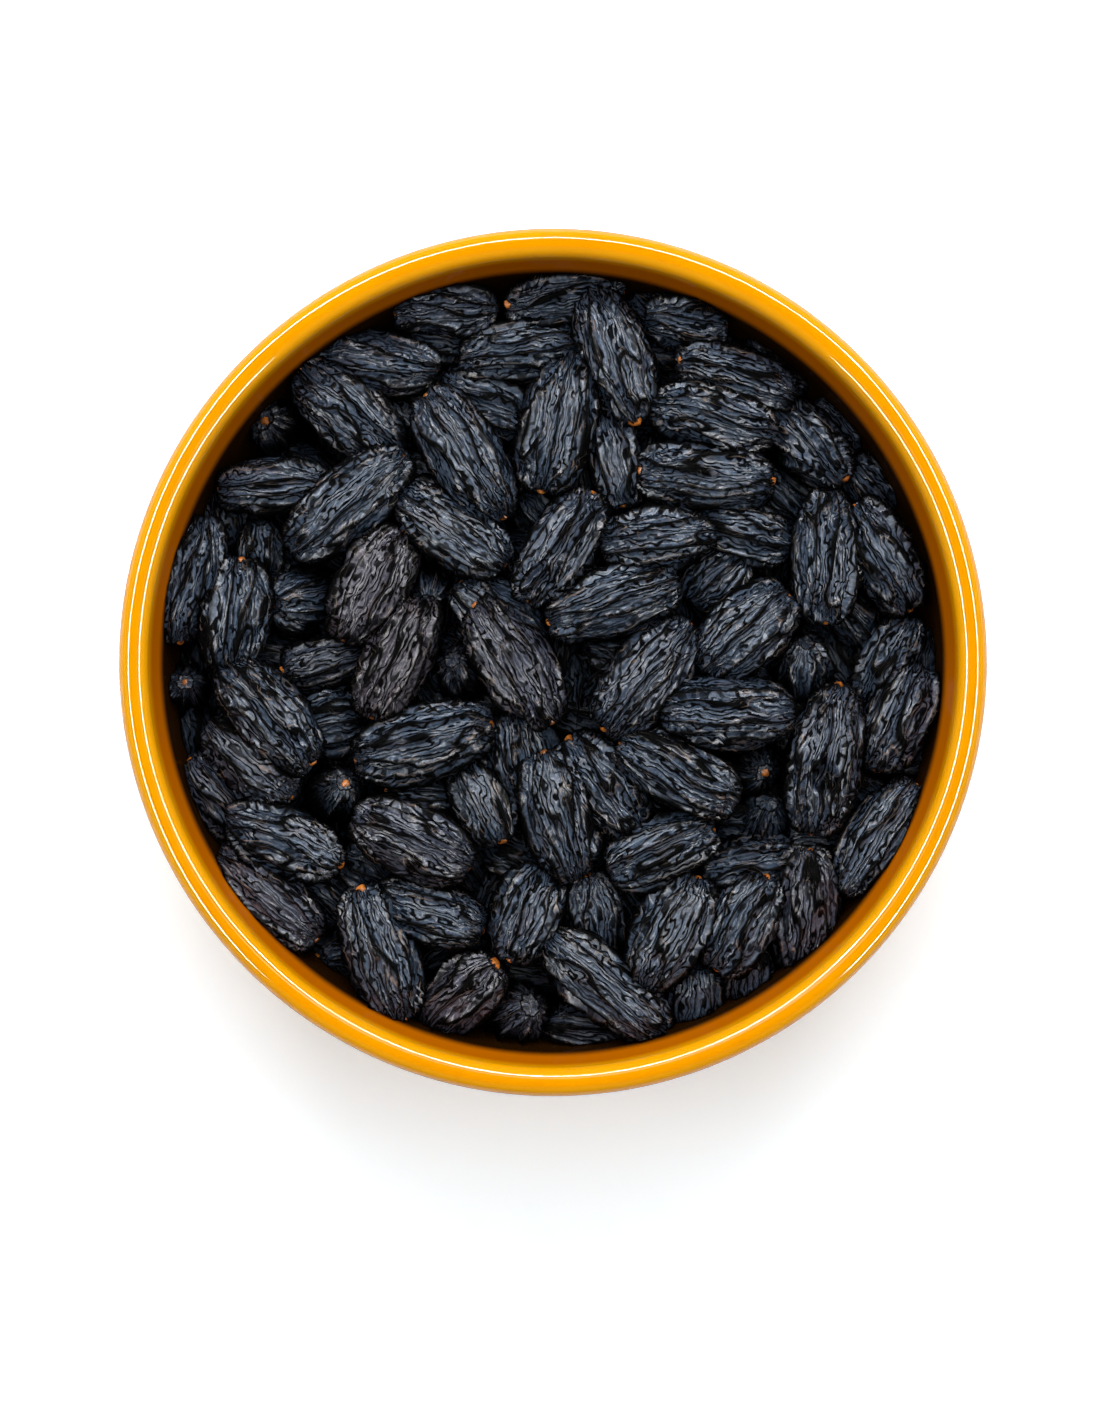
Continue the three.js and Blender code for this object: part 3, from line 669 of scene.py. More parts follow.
def wrinkles(net, spot, half_size, seed):
    """The wrinkles of a raisin's skin, as heights from 0 to 1 and distances from their creases.

    spot is a place on the spindle: how far along it, from -1 to 1, and where around it. Each raisin has
    a stretch of the pattern of its own, and its ridges draw together towards a smooth collar at each end.
    """
    along, side, upper = net.split(spot)
    size_x, size_y, _ = net.split(half_size)
    end = net.math("ABSOLUTE", along)
    arc = net.math("MULTIPLY", size_y, MM_PER_METRE * ARC_STRETCH)
    girth = net.math("MULTIPLY", size_x, MM_PER_METRE)
    girth_left = net.math("MULTIPLY_ADD", net.math("POWER", end, 4), GIRTH_LOSS, 1.0)
    girth = net.math("MULTIPLY", girth, girth_left)
    around = net.math("MULTIPLY", net.math("ARCTAN2", side, upper), girth)
    place = net.xyz(net.math("MULTIPLY", along, arc), around, 0.0)
    place = net.vector("ADD", place, net.scaled(SEED_STEP, seed))
    from_pole = net.math("MULTIPLY", net.math("SUBTRACT", 1.0, end), arc)
    play = net.centred(net.noise(place, COLLAR_PLAY_SCALE, 1.0)[0])
    from_pole = net.math("MULTIPLY_ADD", play, COLLAR_PLAY, from_pole)
    _, across, _ = net.split(place)
    drift = net.noise(net.vector("MULTIPLY", place, FOLD_DRIFT_SCALE), detail=1.0)[0]
    folds = net.math("MULTIPLY_ADD", drift, FOLD_DRIFT, net.math("MULTIPLY", across, FOLDS_PER_MM))
    fold_edge = net.math("PINGPONG", folds, 0.5)
    level = net.math("MULTIPLY_ADD", net.random(net.math("FLOOR", folds)), *FOLD_LEVEL)
    drift = net.noise(net.vector("MULTIPLY", place, RIDGE_DRIFT_SCALE), detail=2.0)[0]
    ridges = net.math("MULTIPLY_ADD", drift, RIDGE_DRIFT, net.math("MULTIPLY", across, RIDGES_PER_MM))
    waver = net.noise(net.vector("MULTIPLY", place, RIDGE_WAVER_SCALE), detail=0.0)[0]
    ridges = net.math("MULTIPLY_ADD", waver, RIDGE_WAVER, ridges)
    ridge_edge = net.math("PINGPONG", ridges, 0.5)
    return {
        "place": place,
        "from_pole": from_pole,
        "fade": net.ramp(from_pole, *END_FADE),
        "fold_edge": fold_edge,
        "ridge_edge": ridge_edge,
        "fold": net.math("MULTIPLY", net.ramp(fold_edge, *FOLD_RISE), level),
        "ridge": net.ramp(ridge_edge, *RIDGE_RISE),
    }


def hill(net, value, low, high, edge):
    """1 between low and high, falling to 0 over the edge outside them."""
    rise = net.ramp(value, low - edge, low)
    fall = net.ramp(value, high, high + edge, 1.0, 0.0)
    return net.math("MULTIPLY", rise, fall)


def named(net, label, kind):
    """A mesh attribute, for a shape."""
    settings = {"data_type": kind}
    return net.add("GeometryNodeInputNamedAttribute", settings=settings, Name=label).outputs[0]


def stored(net, shape, label, kind, value):
    """The shape with value kept on its points as a named attribute."""
    settings = {"data_type": kind, "domain": "POINT"}
    node = net.add("GeometryNodeStoreNamedAttribute", shape, settings=settings, Name=label, Value=value)
    return node.outputs[0]


def spindle(net, columns, rings):
    """A closed spindle of radius 1 and half length 1 along Y, finest on its upper side, blunt at its ends.

    Its faces point inwards, as the rolled sheet leaves them.
    """
    sheet = net.add("GeometryNodeMeshGrid", 1.0, 1.0, columns, rings).outputs[0]
    x, y, _ = net.split(net.add("GeometryNodeInputPosition").outputs[0])
    turn = net.math("MULTIPLY", net.math("ADD", x, 0.5), 2 * math.pi)
    around = net.math("ADD", turn, net.math("MULTIPLY", net.math("SINE", turn), CROWDING))
    polar = net.math("MULTIPLY", net.math("ADD", y, 0.5), math.pi)
    shift = net.math("MULTIPLY", net.math("SINE", net.math("MULTIPLY", polar, 2)), BLUNTNESS)
    polar = net.math("SUBTRACT", polar, shift)
    aside = net.math("POWER", net.math("MAXIMUM", net.math("SINE", polar), 0.0), GIRTH_POWER)
    slope = net.math("COSINE", polar)
    reach = net.math("POWER", net.math("ABSOLUTE", slope), END_POWER)
    along = net.math("MULTIPLY", net.math("SIGN", slope), net.math("MULTIPLY", reach, -1))
    side = net.math("SINE", around)
    upper = net.math("MULTIPLY", net.math("COSINE", around), -1)
    lengthwise = net.math("SUBTRACT", net.math("MULTIPLY", polar, 2 / math.pi), 1)
    marked = stored(net, sheet, "spot", "FLOAT_VECTOR", net.xyz(lengthwise, side, upper))
    place = net.xyz(net.math("MULTIPLY", side, aside), along, net.math("MULTIPLY", upper, aside))
    rolled = net.add("GeometryNodeSetPosition", marked, Position=place).outputs[0]
    return net.add("GeometryNodeMergeByDistance", rolled, Distance=WELD).outputs[0]


def pointing(net, direction, axis):
    """A rotation that turns axis along direction, and keeps a raisin's upper side up."""
    kind = "FunctionNodeAlignRotationToVector"
    settings = {"axis": axis, "pivot_axis": "AUTO"}
    turned = net.add(kind, settings=settings, Vector=direction).outputs[0]
    if axis == "Z":
        return turned
    settings = {"axis": "Z", "pivot_axis": "Y"}
    return net.add(kind, settings=settings, Rotation=turned, Vector=(0.0, 0.0, 1.0)).outputs[0]


def stubs_of_stem(net, points, direction, half_size, flag, end):
    """A rough lump of stem at one end of each raisin that keeps one."""
    reach = net.math("SUBTRACT", net.split(half_size)[1], STUB_SUNK)
    offset = net.scaled(direction, net.math("MULTIPLY", reach, end))
    moved = net.add("GeometryNodeSetPosition", points, Offset=offset).outputs[0]
    lump = net.add("GeometryNodeMeshIcoSphere", Radius=STUB_RADIUS, Subdivisions=STUB_SUBDIVISIONS)
    place = net.add("GeometryNodeInputPosition").outputs[0]
    rough = net.stray(place, STUB_ROUGH_SCALE, 1.0, (STUB_ROUGH_REACH,) * 3)
    lump = net.add("GeometryNodeSetPosition", lump.outputs[0], Offset=rough).outputs[0]
    kept = net.math("GREATER_THAN", named(net, flag, "FLOAT"), 0.5)
    return net.add(
        "GeometryNodeInstanceOnPoints", moved, Selection=kept, Instance=lump,
        Rotation=pointing(net, net.scaled(direction, end), "Z"), Scale=named(net, "stub_size", "FLOAT"),
    ).outputs[0]


def raisin_tree():
    """Puts a wrinkled raisin on each point."""
    tree, net, given, result = new_group(
        "Wrinkled raisins", "GeometryNodeTree",
        [
            ("Points", "NodeSocketGeometry"),
            ("Columns", "NodeSocketInt"),
            ("Rings", "NodeSocketInt"),
            ("Fold Height", "NodeSocketFloat"),
            ("Ridge Height", "NodeSocketFloat"),
            ("Skin", "NodeSocketMaterial"),
        ],
        [("Raisins", "NodeSocketGeometry")],
    )
    points = given["Points"]
    direction = named(net, "direction", "FLOAT_VECTOR")
    half_size = named(net, "half_size", "FLOAT_VECTOR")
    body = net.add(
        "GeometryNodeInstanceOnPoints", points, Instance=spindle(net, given["Columns"], given["Rings"]),
        Rotation=pointing(net, direction, "Y"), Scale=half_size,
    ).outputs[0]
    body = net.add("GeometryNodeRealizeInstances", body).outputs[0]

    # The body's faces point inwards up to its last step, so a height above 0 lies deeper in the raisin
    spot = named(net, "spot", "FLOAT_VECTOR")
    signs = wrinkles(net, spot, half_size, named(net, "seed", "FLOAT"))
    lean = net.scaled(net.stray(signs["place"], LEAN_SCALE, 1.0, (LEAN_REACH,) * 3), MM)
    fold, ridge = signs["fold"], signs["ridge"]
    height = net.math("MULTIPLY", net.centred(fold, FOLD_LEVEL_HEIGHT), given["Fold Height"])
    above = net.centred(ridge, RIDGE_LEVEL_HEIGHT)
    height = net.math("MULTIPLY_ADD", above, given["Ridge Height"], height)
    height = net.math("MULTIPLY", height, signs["fade"])
    groove = hill(net, signs["from_pole"], *COLLAR_GROOVE)
    height = net.math("MULTIPLY_ADD", groove, COLLAR_GROOVE_HEIGHT, height)
    normal = net.add("GeometryNodeInputNormal").outputs[0]
    offset = net.vector("ADD", net.scaled(normal, height), lean)
    relief = net.math("MULTIPLY_ADD", ridge, RIDGE_RELIEF, net.math("MULTIPLY", fold, FOLD_RELIEF))
    body = stored(net, body, "relief", "FLOAT", relief)
    body = net.add("GeometryNodeSetPosition", body, Offset=offset).outputs[0]
    body = net.add("GeometryNodeFlipFaces", body).outputs[0]

    stubs = net.add("GeometryNodeJoinGeometry")
    for flag, end in (("stem_stub", 1.0), ("tip_stub", -1.0)):
        net.feed(stubs.inputs[0], stubs_of_stem(net, points, direction, half_size, flag, end))
    stubs = net.add("GeometryNodeRealizeInstances", stubs.outputs[0]).outputs[0]
    stubs = stored(net, stubs, "stub", "FLOAT", 1.0)

    joined = net.add("GeometryNodeJoinGeometry")
    net.feed(joined.inputs[0], stubs)
    net.feed(joined.inputs[0], body)
    smooth = net.add("GeometryNodeSetShadeSmooth", joined.outputs[0]).outputs[0]
    finished = net.add("GeometryNodeSetMaterial", smooth, Material=given["Skin"]).outputs[0]
    net.feed(result["Raisins"], finished)
    return tree


def grown_mesh(name, raisins, columns, rings):
    """The plain mesh that the raisins' tree makes of some raisins."""
    settings = bpy.context.scene.raisins
    tree = bpy.data.node_groups.get("Wrinkled raisins") or raisin_tree()
    skin = bpy.data.materials.get("Raisin skin") or raisin_skin("Raisin skin", skin_group())
    points = raisin_points(name, raisins)
    carrier = bpy.data.objects.new(name, points)
    bpy.context.collection.objects.link(carrier)
    modifier = carrier.modifiers.new("Raisins", "NODES")
    modifier.node_group = tree
    values = {
        "Columns": columns,
        "Rings": rings,
        "Fold Height": settings.fold_height,
        "Ridge Height": settings.ridge_height,
        "Skin": skin,
    }
    for socket in tree.interface.items_tree:
        if socket.in_out == "INPUT" and socket.name in values:
            modifier[socket.identifier] = values[socket.name]
    graph = bpy.context.evaluated_depsgraph_get()
    mesh = bpy.data.meshes.new_from_object(carrier.evaluated_get(graph), depsgraph=graph)
    bpy.data.objects.remove(carrier)
    bpy.data.meshes.remove(points)
    mesh.name = name
    press_inside(mesh)
    for label in ("direction", "stem_stub", "tip_stub", "stub_size"):
        if label in mesh.attributes:
            mesh.attributes.remove(mesh.attributes[label])
    return mesh


def press_inside(mesh):
    """Presses what reaches into the bowl's wall back to its inner side."""
    wall = bowl_profile()[1]
    spots = [0.0] * (3 * len(mesh.vertices))
    mesh.vertices.foreach_get("co", spots)
    for n in range(0, len(spots), 3):
        x, y, z = spots[n:n + 3]
        r = math.hypot(x, y)
        if r < FOOT_RADIUS or z > wall[0][1]:
            reach = wall[0][0] - CLEARANCE
        else:
            upper, lower = next((a, b) for a, b in zip(wall, wall[1:]) if b[1] <= z)
            share = (upper[1] - z) / (upper[1] - lower[1])
            reach = upper[0] + (lower[0] - upper[0]) * share - CLEARANCE
        if r > reach:
            spots[n] *= reach / r
            spots[n + 1] *= reach / r
    mesh.vertices.foreach_set("co", spots)
    mesh.update()


def press_pit(mesh, pixel_x, pixel_y, radius, depth):
    """Presses a round pit into the upper side of a raisin and notes how much painted shade each vertex gets
    in it.
    """
    middle = place_of(pixel_x, pixel_y, 0, 0)
    painted_shades = [0.0] * len(mesh.vertices)
    for n, vertex in enumerate(mesh.vertices):
        away = math.hypot(vertex.co.x - middle.x, vertex.co.y - middle.y) / (radius * MM)
        if away < 1:
            vertex.co.z -= depth * MM * (1 - away**PIT_FLATNESS)
            painted_shades[n] = (PIT_MIDDLE + (1 - PIT_MIDDLE) * away) * (1 - away**PIT_EDGE)
    mesh.attributes.new("pit", "FLOAT", "POINT").data.foreach_set("value", painted_shades)


def put(name, mesh, node):
    """A finished piece that stands for a CAD node."""
    piece = bpy.data.objects.new(name, mesh)
    bpy.context.collection.objects.link(piece)
    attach(piece, "root")
    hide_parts(node)
    return piece


# Finishes


def skin_group():
    """Colour with painted shade and painted highlight, roughness and fine relief of a wrinkled skin."""
    tree, net, given, result = new_group(
        "Wrinkled skin", "ShaderNodeTree",
        [
            ("Spot", "NodeSocketVector"),
            ("Half Size", "NodeSocketVector"),
            ("Seed", "NodeSocketFloat"),
            ("Relief", "NodeSocketFloat"),
            ("Brown", "NodeSocketFloat"),
            # Bloom carries the painted shade from heap_shade, which darkens the colour, the lips and the
            # gloss
            ("Bloom", "NodeSocketFloat"),
            ("Bloom Colour", "NodeSocketColor"),
            ("Brown Colour", "NodeSocketColor"),
            ("Crest Colour", "NodeSocketColor"),
        ],
        [
            ("Colour", "NodeSocketColor"),
            ("Roughness", "NodeSocketFloat"),
            ("Gloss", "NodeSocketFloat"),
            ("Height", "NodeSocketFloat"),
        ],
    )
    signs = wrinkles(net, given["Spot"], given["Half Size"], given["Seed"])
    place, fade, from_pole = signs["place"], signs["fade"], signs["from_pole"]
    grain = net.noise(net.vector("MULTIPLY", place, GRAIN_SCALE), roughness=GRAIN_ROUGHNESS)[0]
    speckle = net.noise(place, SPECKLE_SCALE, 3.0, GRAIN_ROUGHNESS)[0]
    patches = net.noise(place, PATCH_SCALE)[0]

    # Creases, matt and darkened with painted shade
    fold_crease = net.ramp(signs["fold_edge"], *FOLD_CREASE, 1.0, 0.0)
    ridge_crease = net.ramp(signs["ridge_edge"], *RIDGE_CREASE, 1.0, 0.0)
    deep = net.ramp(net.noise(place, RIDGE_CREASE_SCALE, 1.0)[0], *RIDGE_CREASE_DEPTH)
    ridge_crease = net.math("MULTIPLY", ridge_crease, deep)
    crease = net.math("MULTIPLY", net.math("MAXIMUM", fold_crease, ridge_crease), fade)
    crease = net.math("MAXIMUM", crease, hill(net, from_pole, *COLLAR_CREASE))

    # Lips beside the creases, which show in patches as thin pale lines in the crests' tan colour: a painted
    # highlight along the crests
    fold_lip = net.math("MULTIPLY", hill(net, signs["fold_edge"], *FOLD_LIP), fade)
    ridge_lip = net.math("MULTIPLY", hill(net, signs["ridge_edge"], *RIDGE_LIP), fade)
    collar_lip = net.math("MULTIPLY", hill(net, from_pole, *COLLAR_LIP), COLLAR_LIP_SHARE)
    lip = net.math("MAXIMUM", fold_lip, net.math("MULTIPLY", ridge_lip, RIDGE_LIP_SHARE))
    lip = net.math("MAXIMUM", lip, collar_lip)
    seen = net.ramp(net.noise(place, LIP_PATCH_SCALE, 1.0)[0], *LIP_PATCHES)
    lip = net.math("MULTIPLY", lip, net.math("MULTIPLY_ADD", seen, *LIP_STRENGTH))

    height = net.math("MULTIPLY_ADD", lip, LIP_HEIGHT, net.math("MULTIPLY", crease, -1.0))
    height = net.math("MULTIPLY_ADD", grain, GRAIN_HEIGHT, height)
    height = net.math("MULTIPLY_ADD", speckle, SPECKLE_HEIGHT, height)

    # Painted shade: the skin's colour is darker where the relief lies low, in creases, down the flanks and
    # deep in the heap, over its own grain and speckle
    high = net.ramp(given["Relief"], *HIGH_RELIEF)
    brown = net.math("ADD", given["Brown"], net.ramp(patches, *PATCH_BROWN), clamp=True)
    colour = net.blend(brown, given["Bloom Colour"], given["Brown Colour"])
    tint = net.math("MULTIPLY_ADD", high, *RELIEF_PAINTED_SHADE)
    # Painted shade in the creases, which turns them nearly black
    light = net.math("MULTIPLY_ADD", crease, CREASE_PAINTED_SHADE, 1.0)
    for share in (net.ramp(grain, *GRAIN_TINT), net.ramp(speckle, *SPECKLE_TINT), light, given["Bloom"]):
        tint = net.math("MULTIPLY", tint, share)
    # The lips' painted highlight is dimmed by the painted shade of the heap and brighter where the relief
    # lies high
    lip = net.math("MULTIPLY", lip, given["Bloom"])
    lip = net.math("MULTIPLY", lip, net.math("MULTIPLY_ADD", high, *RELIEF_PAINTED_HIGHLIGHT))
    gloss = net.math("MULTIPLY", net.math("SUBTRACT", 1.0, crease), net.ramp(grain, *GRAIN_GLOSS))

    net.feed(result["Colour"], net.blend(lip, net.scaled(colour, tint), given["Crest Colour"]))
    net.feed(result["Roughness"], net.ramp(grain, *GRAIN_MATT))
    net.feed(result["Gloss"], net.math("MULTIPLY", gloss, given["Bloom"]))
    net.feed(result["Height"], height)
    return tree


def attribute(net, label, output="Fac"):
    """A mesh attribute, for a finish."""
    settings = {"attribute_type": "GEOMETRY", "attribute_name": label}
    return net.add("ShaderNodeAttribute", settings=settings).outputs[output]


def heap_shade(net, half_size):
    """How much light reaches a place on a raisin: less down its flanks, in a pit and deep in the heap."""
    x, y, z = net.split(net.add("ShaderNodeTexCoord").outputs["Object"])
    outward = net.math("ADD", net.math("MULTIPLY", x, x), net.math("MULTIPLY", y, y))
    fall = (EDGE_BELOW_RIM - CROWN_BELOW_RIM) / (RIM_RADIUS - WALL_THICKNESS) ** 2
    heap = net.math("MULTIPLY_ADD", outward, -fall, BOWL_HEIGHT - CROWN_BELOW_RIM)
    sunk = attribute(net, "sunk")
    axis = net.math("ADD", net.split(half_size)[2], sunk)
    below = net.math("SUBTRACT", net.math("SUBTRACT", heap, z), axis)
    shade = net.math("MULTIPLY", net.ramp(below, *FLANK_SHADE), net.ramp(sunk, *DEPTH_SHADE))
    return net.math("MULTIPLY", shade, net.math("MULTIPLY_ADD", attribute(net, "pit"), PIT_SHADE, 1.0))


def raisin_skin(name, group):
    """A raisin's material, with its stub of stem in orange."""
    settings = bpy.context.scene.raisins
    material = bpy.data.materials.new(name)
    material.use_nodes = True
    net = Net(material.node_tree)
    shader = material.node_tree.nodes["Principled BSDF"]
    wrinkled = net.add("ShaderNodeGroup", settings={"node_tree": group})
    half_size = attribute(net, "half_size", "Vector")
    seed = attribute(net, "seed")
    links = {
        "Spot": attribute(net, "spot", "Vector"),
        "Half Size": half_size,
        "Seed": seed,
        "Relief": attribute(net, "relief"),
        "Brown": attribute(net, "brown"),
        # Painted shade: heap_shade darkens the skin down its flanks, deep in the heap and in a pit
        "Bloom": heap_shade(net, half_size),
        "Bloom Colour": settings.bloom,
        "Brown Colour": settings.brown,
        "Crest Colour": settings.crest_and_highlight,
    }
    for label, value in links.items():
        net.feed(wrinkled.inputs[label], value)

    place = net.add("ShaderNodeTexCoord").outputs["Object"]
    grain = net.noise(place, STEM_GRAIN_SCALE, 3.0)[0]
    age = net.ramp(net.random(seed), *STEM_AGE_TINT)
    stem = net.scaled(settings.stem[:3], net.math("MULTIPLY", net.ramp(grain, *STEM_GRAIN_TINT), age))
    colour = net.blend(attribute(net, "stub"), wrinkled.outputs["Colour"], stem)
    bump = net.add("ShaderNodeBump", Strength=1.0, Distance=SKIN_BUMP, Height=wrinkled.outputs["Height"])
    net.feed(shader.inputs["Base Color"], colour)
    net.feed(shader.inputs["Roughness"], wrinkled.outputs["Roughness"])
    net.feed(shader.inputs["Normal"], bump.outputs[0])
    net.feed(shader.inputs["Coat Weight"], wrinkled.outputs["Gloss"])
    shader.inputs["Coat Roughness"].default_value = SKIN_COAT_ROUGHNESS
    shader.inputs["Specular IOR Level"].default_value = SKIN_SPECULAR
    return material


def glaze_material():
    """Amber glaze, bright on the rim's flanks and dark where it pools, with painted shade down the inner
    wall, and bare clay under the foot.
    """
    settings = bpy.context.scene.bowl
    material = bpy.data.materials.new("Amber glaze")
    material.use_nodes = True
    net = Net(material.node_tree)
    shader = material.node_tree.nodes["Principled BSDF"]
    place = net.add("ShaderNodeTexCoord").outputs["Object"]
    x, y, z = net.split(place)
    inner = attribute(net, "inner")
    radius = net.math("SQRT", net.math("ADD", net.math("MULTIPLY", x, x), net.math("MULTIPLY", y, y)))
    across = net.math("DIVIDE", net.centred(radius, BEAD_CENTRE_R), BEAD_RADIUS)
    from_crown = net.math("ABSOLUTE", across)
    on_rim = net.ramp(z, *RIM_HEIGHTS)
    crown = net.math("MULTIPLY", net.ramp(from_crown, *CROWN_ACROSS, 1.0, 0.0), on_rim)
    worn = net.math("MULTIPLY", net.ramp(from_crown, *WORN_ACROSS, 1.0, 0.0), on_rim)
    clay = net.ramp(z, *CLAY_HEIGHTS, 1.0, 0.0)

    # How thick the glaze lies, and its colour; down the inner wall it is partly pooled glaze and partly
    # painted shade
    streaks = net.noise(net.vector("MULTIPLY", place, STREAK_SCALE), detail=4.0, roughness=0.6)[0]
    mottle = net.noise(place, MOTTLE_SCALE, 4.0, 0.65)[0]
    outer = net.math("ADD", net.ramp(across, *OUTER_ACROSS), net.ramp(z, *FOOT_POOLING))
    pooled_and_shaded = net.math("MULTIPLY", inner, net.ramp(z, *WALL_POOL_AND_SHADE_HEIGHTS, 1.0, 0.0))
    thick = net.math("MULTIPLY_ADD", crown, CROWN_THICKNESS, outer)
    thick = net.math("MULTIPLY_ADD", pooled_and_shaded, WALL_POOL_AND_SHADE_THICKNESS, thick)
    thick = net.math("MULTIPLY_ADD", net.centred(streaks), STREAK_THICKNESS, thick)
    thick = net.math("MULTIPLY_ADD", net.centred(mottle), MOTTLE_THICKNESS, thick, clamp=True)
    colour = net.blend(thick, settings.glaze, settings.pooled)
    # Painted shade: near-black glaze down the inner wall, below the heap's surface
    painted_wall_shade = net.math("MULTIPLY", inner, net.ramp(z, *PAINTED_SHADE_HEIGHTS, 1.0, 0.0))
    colour = net.blend(painted_wall_shade, colour, settings.wall_painted_shade)
    grit = net.noise(place, GRIT_SCALE, 3.0, 0.7)[0]
    colour = net.blend(clay, colour, net.scaled(CLAY_COLOUR, net.ramp(grit, *GRIT_TINT)))

    matt = net.math("MAXIMUM", clay, inner)
    matt = net.math("MULTIPLY_ADD", matt, MATT_BELOW_RIM, net.ramp(mottle, *GLAZE_MATT))
    dull = net.math("MAXIMUM", net.math("MULTIPLY", inner, WALL_DULLNESS), worn)
    gloss = net.math("MULTIPLY", net.math("SUBTRACT", 1.0, clay), net.math("SUBTRACT", 1.0, dull))
    ripple = net.noise(place, RIPPLE_SCALE)[0]
    height = net.math("MULTIPLY_ADD", net.math("MULTIPLY", grit, clay), GRIT_HEIGHT, ripple)
    bump = net.add("ShaderNodeBump", Strength=GLAZE_BUMP_STRENGTH, Distance=GLAZE_BUMP_DEPTH, Height=height)
    net.feed(shader.inputs["Base Color"], colour)
    net.feed(shader.inputs["Roughness"], matt)
    net.feed(shader.inputs["Normal"], bump.outputs[0])
    net.feed(shader.inputs["Coat Weight"], gloss)
    shader.inputs["Coat Roughness"].default_value = GLAZE_COAT_ROUGHNESS
    shader.inputs["Coat IOR"].default_value = GLAZE_COAT_IOR
    shader.inputs["Specular IOR Level"].default_value = 0.0
    return material


# Bowl


def between(p, q, r, s, t):
    """A smooth curve's value from q at t 0 to r at t 1, with p before them and s after them."""
    bend = (2 * p - 5 * q + 4 * r - s) * t**2
    twist = (3 * q - p - 3 * r + s) * t**3
    return 0.5 * (2 * q + (r - p) * t + bend + twist)


def flowing(points, steps):
    """Points along a smooth curve through given points, each (distance from the axis, height)."""
    knots = [points[0], *points, points[-1]]
    spans = len(points) - 1
    found = []
    for step in range(steps + 1):
        at = step * spans / steps
        span = min(int(at), spans - 1)
        t = at - span
        a, b, c, d = knots[span:span + 4]
        found.append(tuple(between(*four, t) for four in zip(a, b, c, d)))
    return found


def on_bead(angle):
    """A point on the round bead of the rim."""
    return (BEAD_CENTRE_R + BEAD_RADIUS * math.cos(angle), BEAD_CENTRE_Z + BEAD_RADIUS * math.sin(angle))


def bowl_profile():
    """Half outline of the bowl, as (distance from the axis, height) in two parts.

    The first goes from the middle of the underside up and over the bead, and the second from there down
    to the middle of the floor inside.
    """
    floor = FOOT_RECESS + FLOOR_THICKNESS
    outer = [
        (FOOT_RADIUS + 0.6 * MM, 3.4 * MM),
        (FOOT_RADIUS + 9 * MM, 8 * MM),
        (FOOT_RADIUS + 20 * MM, 19 * MM),
        (RIM_RADIUS - 5.4 * MM, 35 * MM),
        (RIM_RADIUS - 2.2 * MM, 49 * MM),
        on_bead(BEAD_START),
    ]
    inner = [
        (BEAD_CENTRE_R - BEAD_RADIUS, BEAD_CENTRE_Z),
        (RIM_RADIUS - 2.2 * MM - WALL_THICKNESS, 50 * MM),
        (RIM_RADIUS - 5.4 * MM - WALL_THICKNESS, 36.5 * MM),
        (FOOT_RADIUS + 17.4 * MM, 22 * MM),
        (FOOT_RADIUS + 4 * MM, 11.5 * MM),
        (FOOT_RADIUS - 14 * MM, floor + 1 * MM),
        (8 * MM, floor),
    ]
    bead = [
        on_bead(BEAD_START + (math.pi - BEAD_START) * step / BEAD_STEPS) for step in range(1, BEAD_STEPS)
    ]
    foot = [
        (FOOT_RADIUS - FOOT_WIDTH - 1 * MM, FOOT_RECESS),
        (FOOT_RADIUS - FOOT_WIDTH - 0.25 * MM, 0.3 * MM),
        (FOOT_RADIUS - FOOT_WIDTH, 0),
        (FOOT_RADIUS - 0.5 * MM, 0),
        (FOOT_RADIUS - 0.1 * MM, 0.2 * MM),
        (FOOT_RADIUS, 0.6 * MM),
    ]
    outside = [(0, FOOT_RECESS), *foot, *flowing(outer, OUTER_STEPS), *bead]
    return outside, [*flowing(inner, INNER_STEPS), (0, floor)]


def turned_mesh(name, outside, inside, sides):
    """A closed mesh turned about Z from a half outline that starts and ends on the axis.

    Its attribute inner is 1 on the second part of the outline and 0 on the first.
    """
    mesh = bpy.data.meshes.new(name)
    profile = outside + inside
    shape = bmesh.new()
    rings = []
    for r, z in profile:
        if r == 0:
            rings.append([shape.verts.new((0, 0, z))] * sides)
            continue
        spots = [2 * math.pi * n / sides for n in range(sides)]
        rings.append([shape.verts.new((r * math.cos(a), r * math.sin(a), z)) for a in spots])
    for lower, upper in zip(rings, rings[1:]):
        for n in range(sides):
            m = (n + 1) % sides
            corners = list(dict.fromkeys((lower[n], lower[m], upper[m], upper[n])))
            shape.faces.new(corners).smooth = True
    shape.to_mesh(mesh)
    shape.free()
    marks = []
    for number, (r, _) in enumerate(profile):
        marks += [float(number >= len(outside))] * (sides if r else 1)
    mesh.attributes.new("inner", "FLOAT", "POINT").data.foreach_set("value", marks)
    return mesh


# Stage


def floor_sheet(settings):
    """A plain sheet of pale paper, which looks brighter than it lights the bowl."""
    half = settings.floor_size / 2
    mesh = bpy.data.meshes.new("floor")
    corners = [(-half, -half, 0), (half, -half, 0), (half, half, 0), (-half, half, 0)]
    mesh.from_pydata(corners, [], [(0, 1, 2, 3)])
    paper = bpy.data.materials.new("Pale floor")
    paper.use_nodes = True
    nodes = paper.node_tree.nodes
    nodes.remove(nodes["Principled BSDF"])
    net = Net(paper.node_tree)
    seen = net.add("ShaderNodeLightPath").outputs["Is Camera Ray"]
    bright = [settings.glow * part for part in settings.floor[:3]]
    matt = net.add("ShaderNodeBsdfDiffuse", Color=net.blend(seen, settings.floor, (*bright, 1)))
    net.feed(nodes["Material Output"].inputs["Surface"], matt.outputs[0])
    mesh.materials.append(paper)
    return bpy.data.objects.new("floor", mesh)


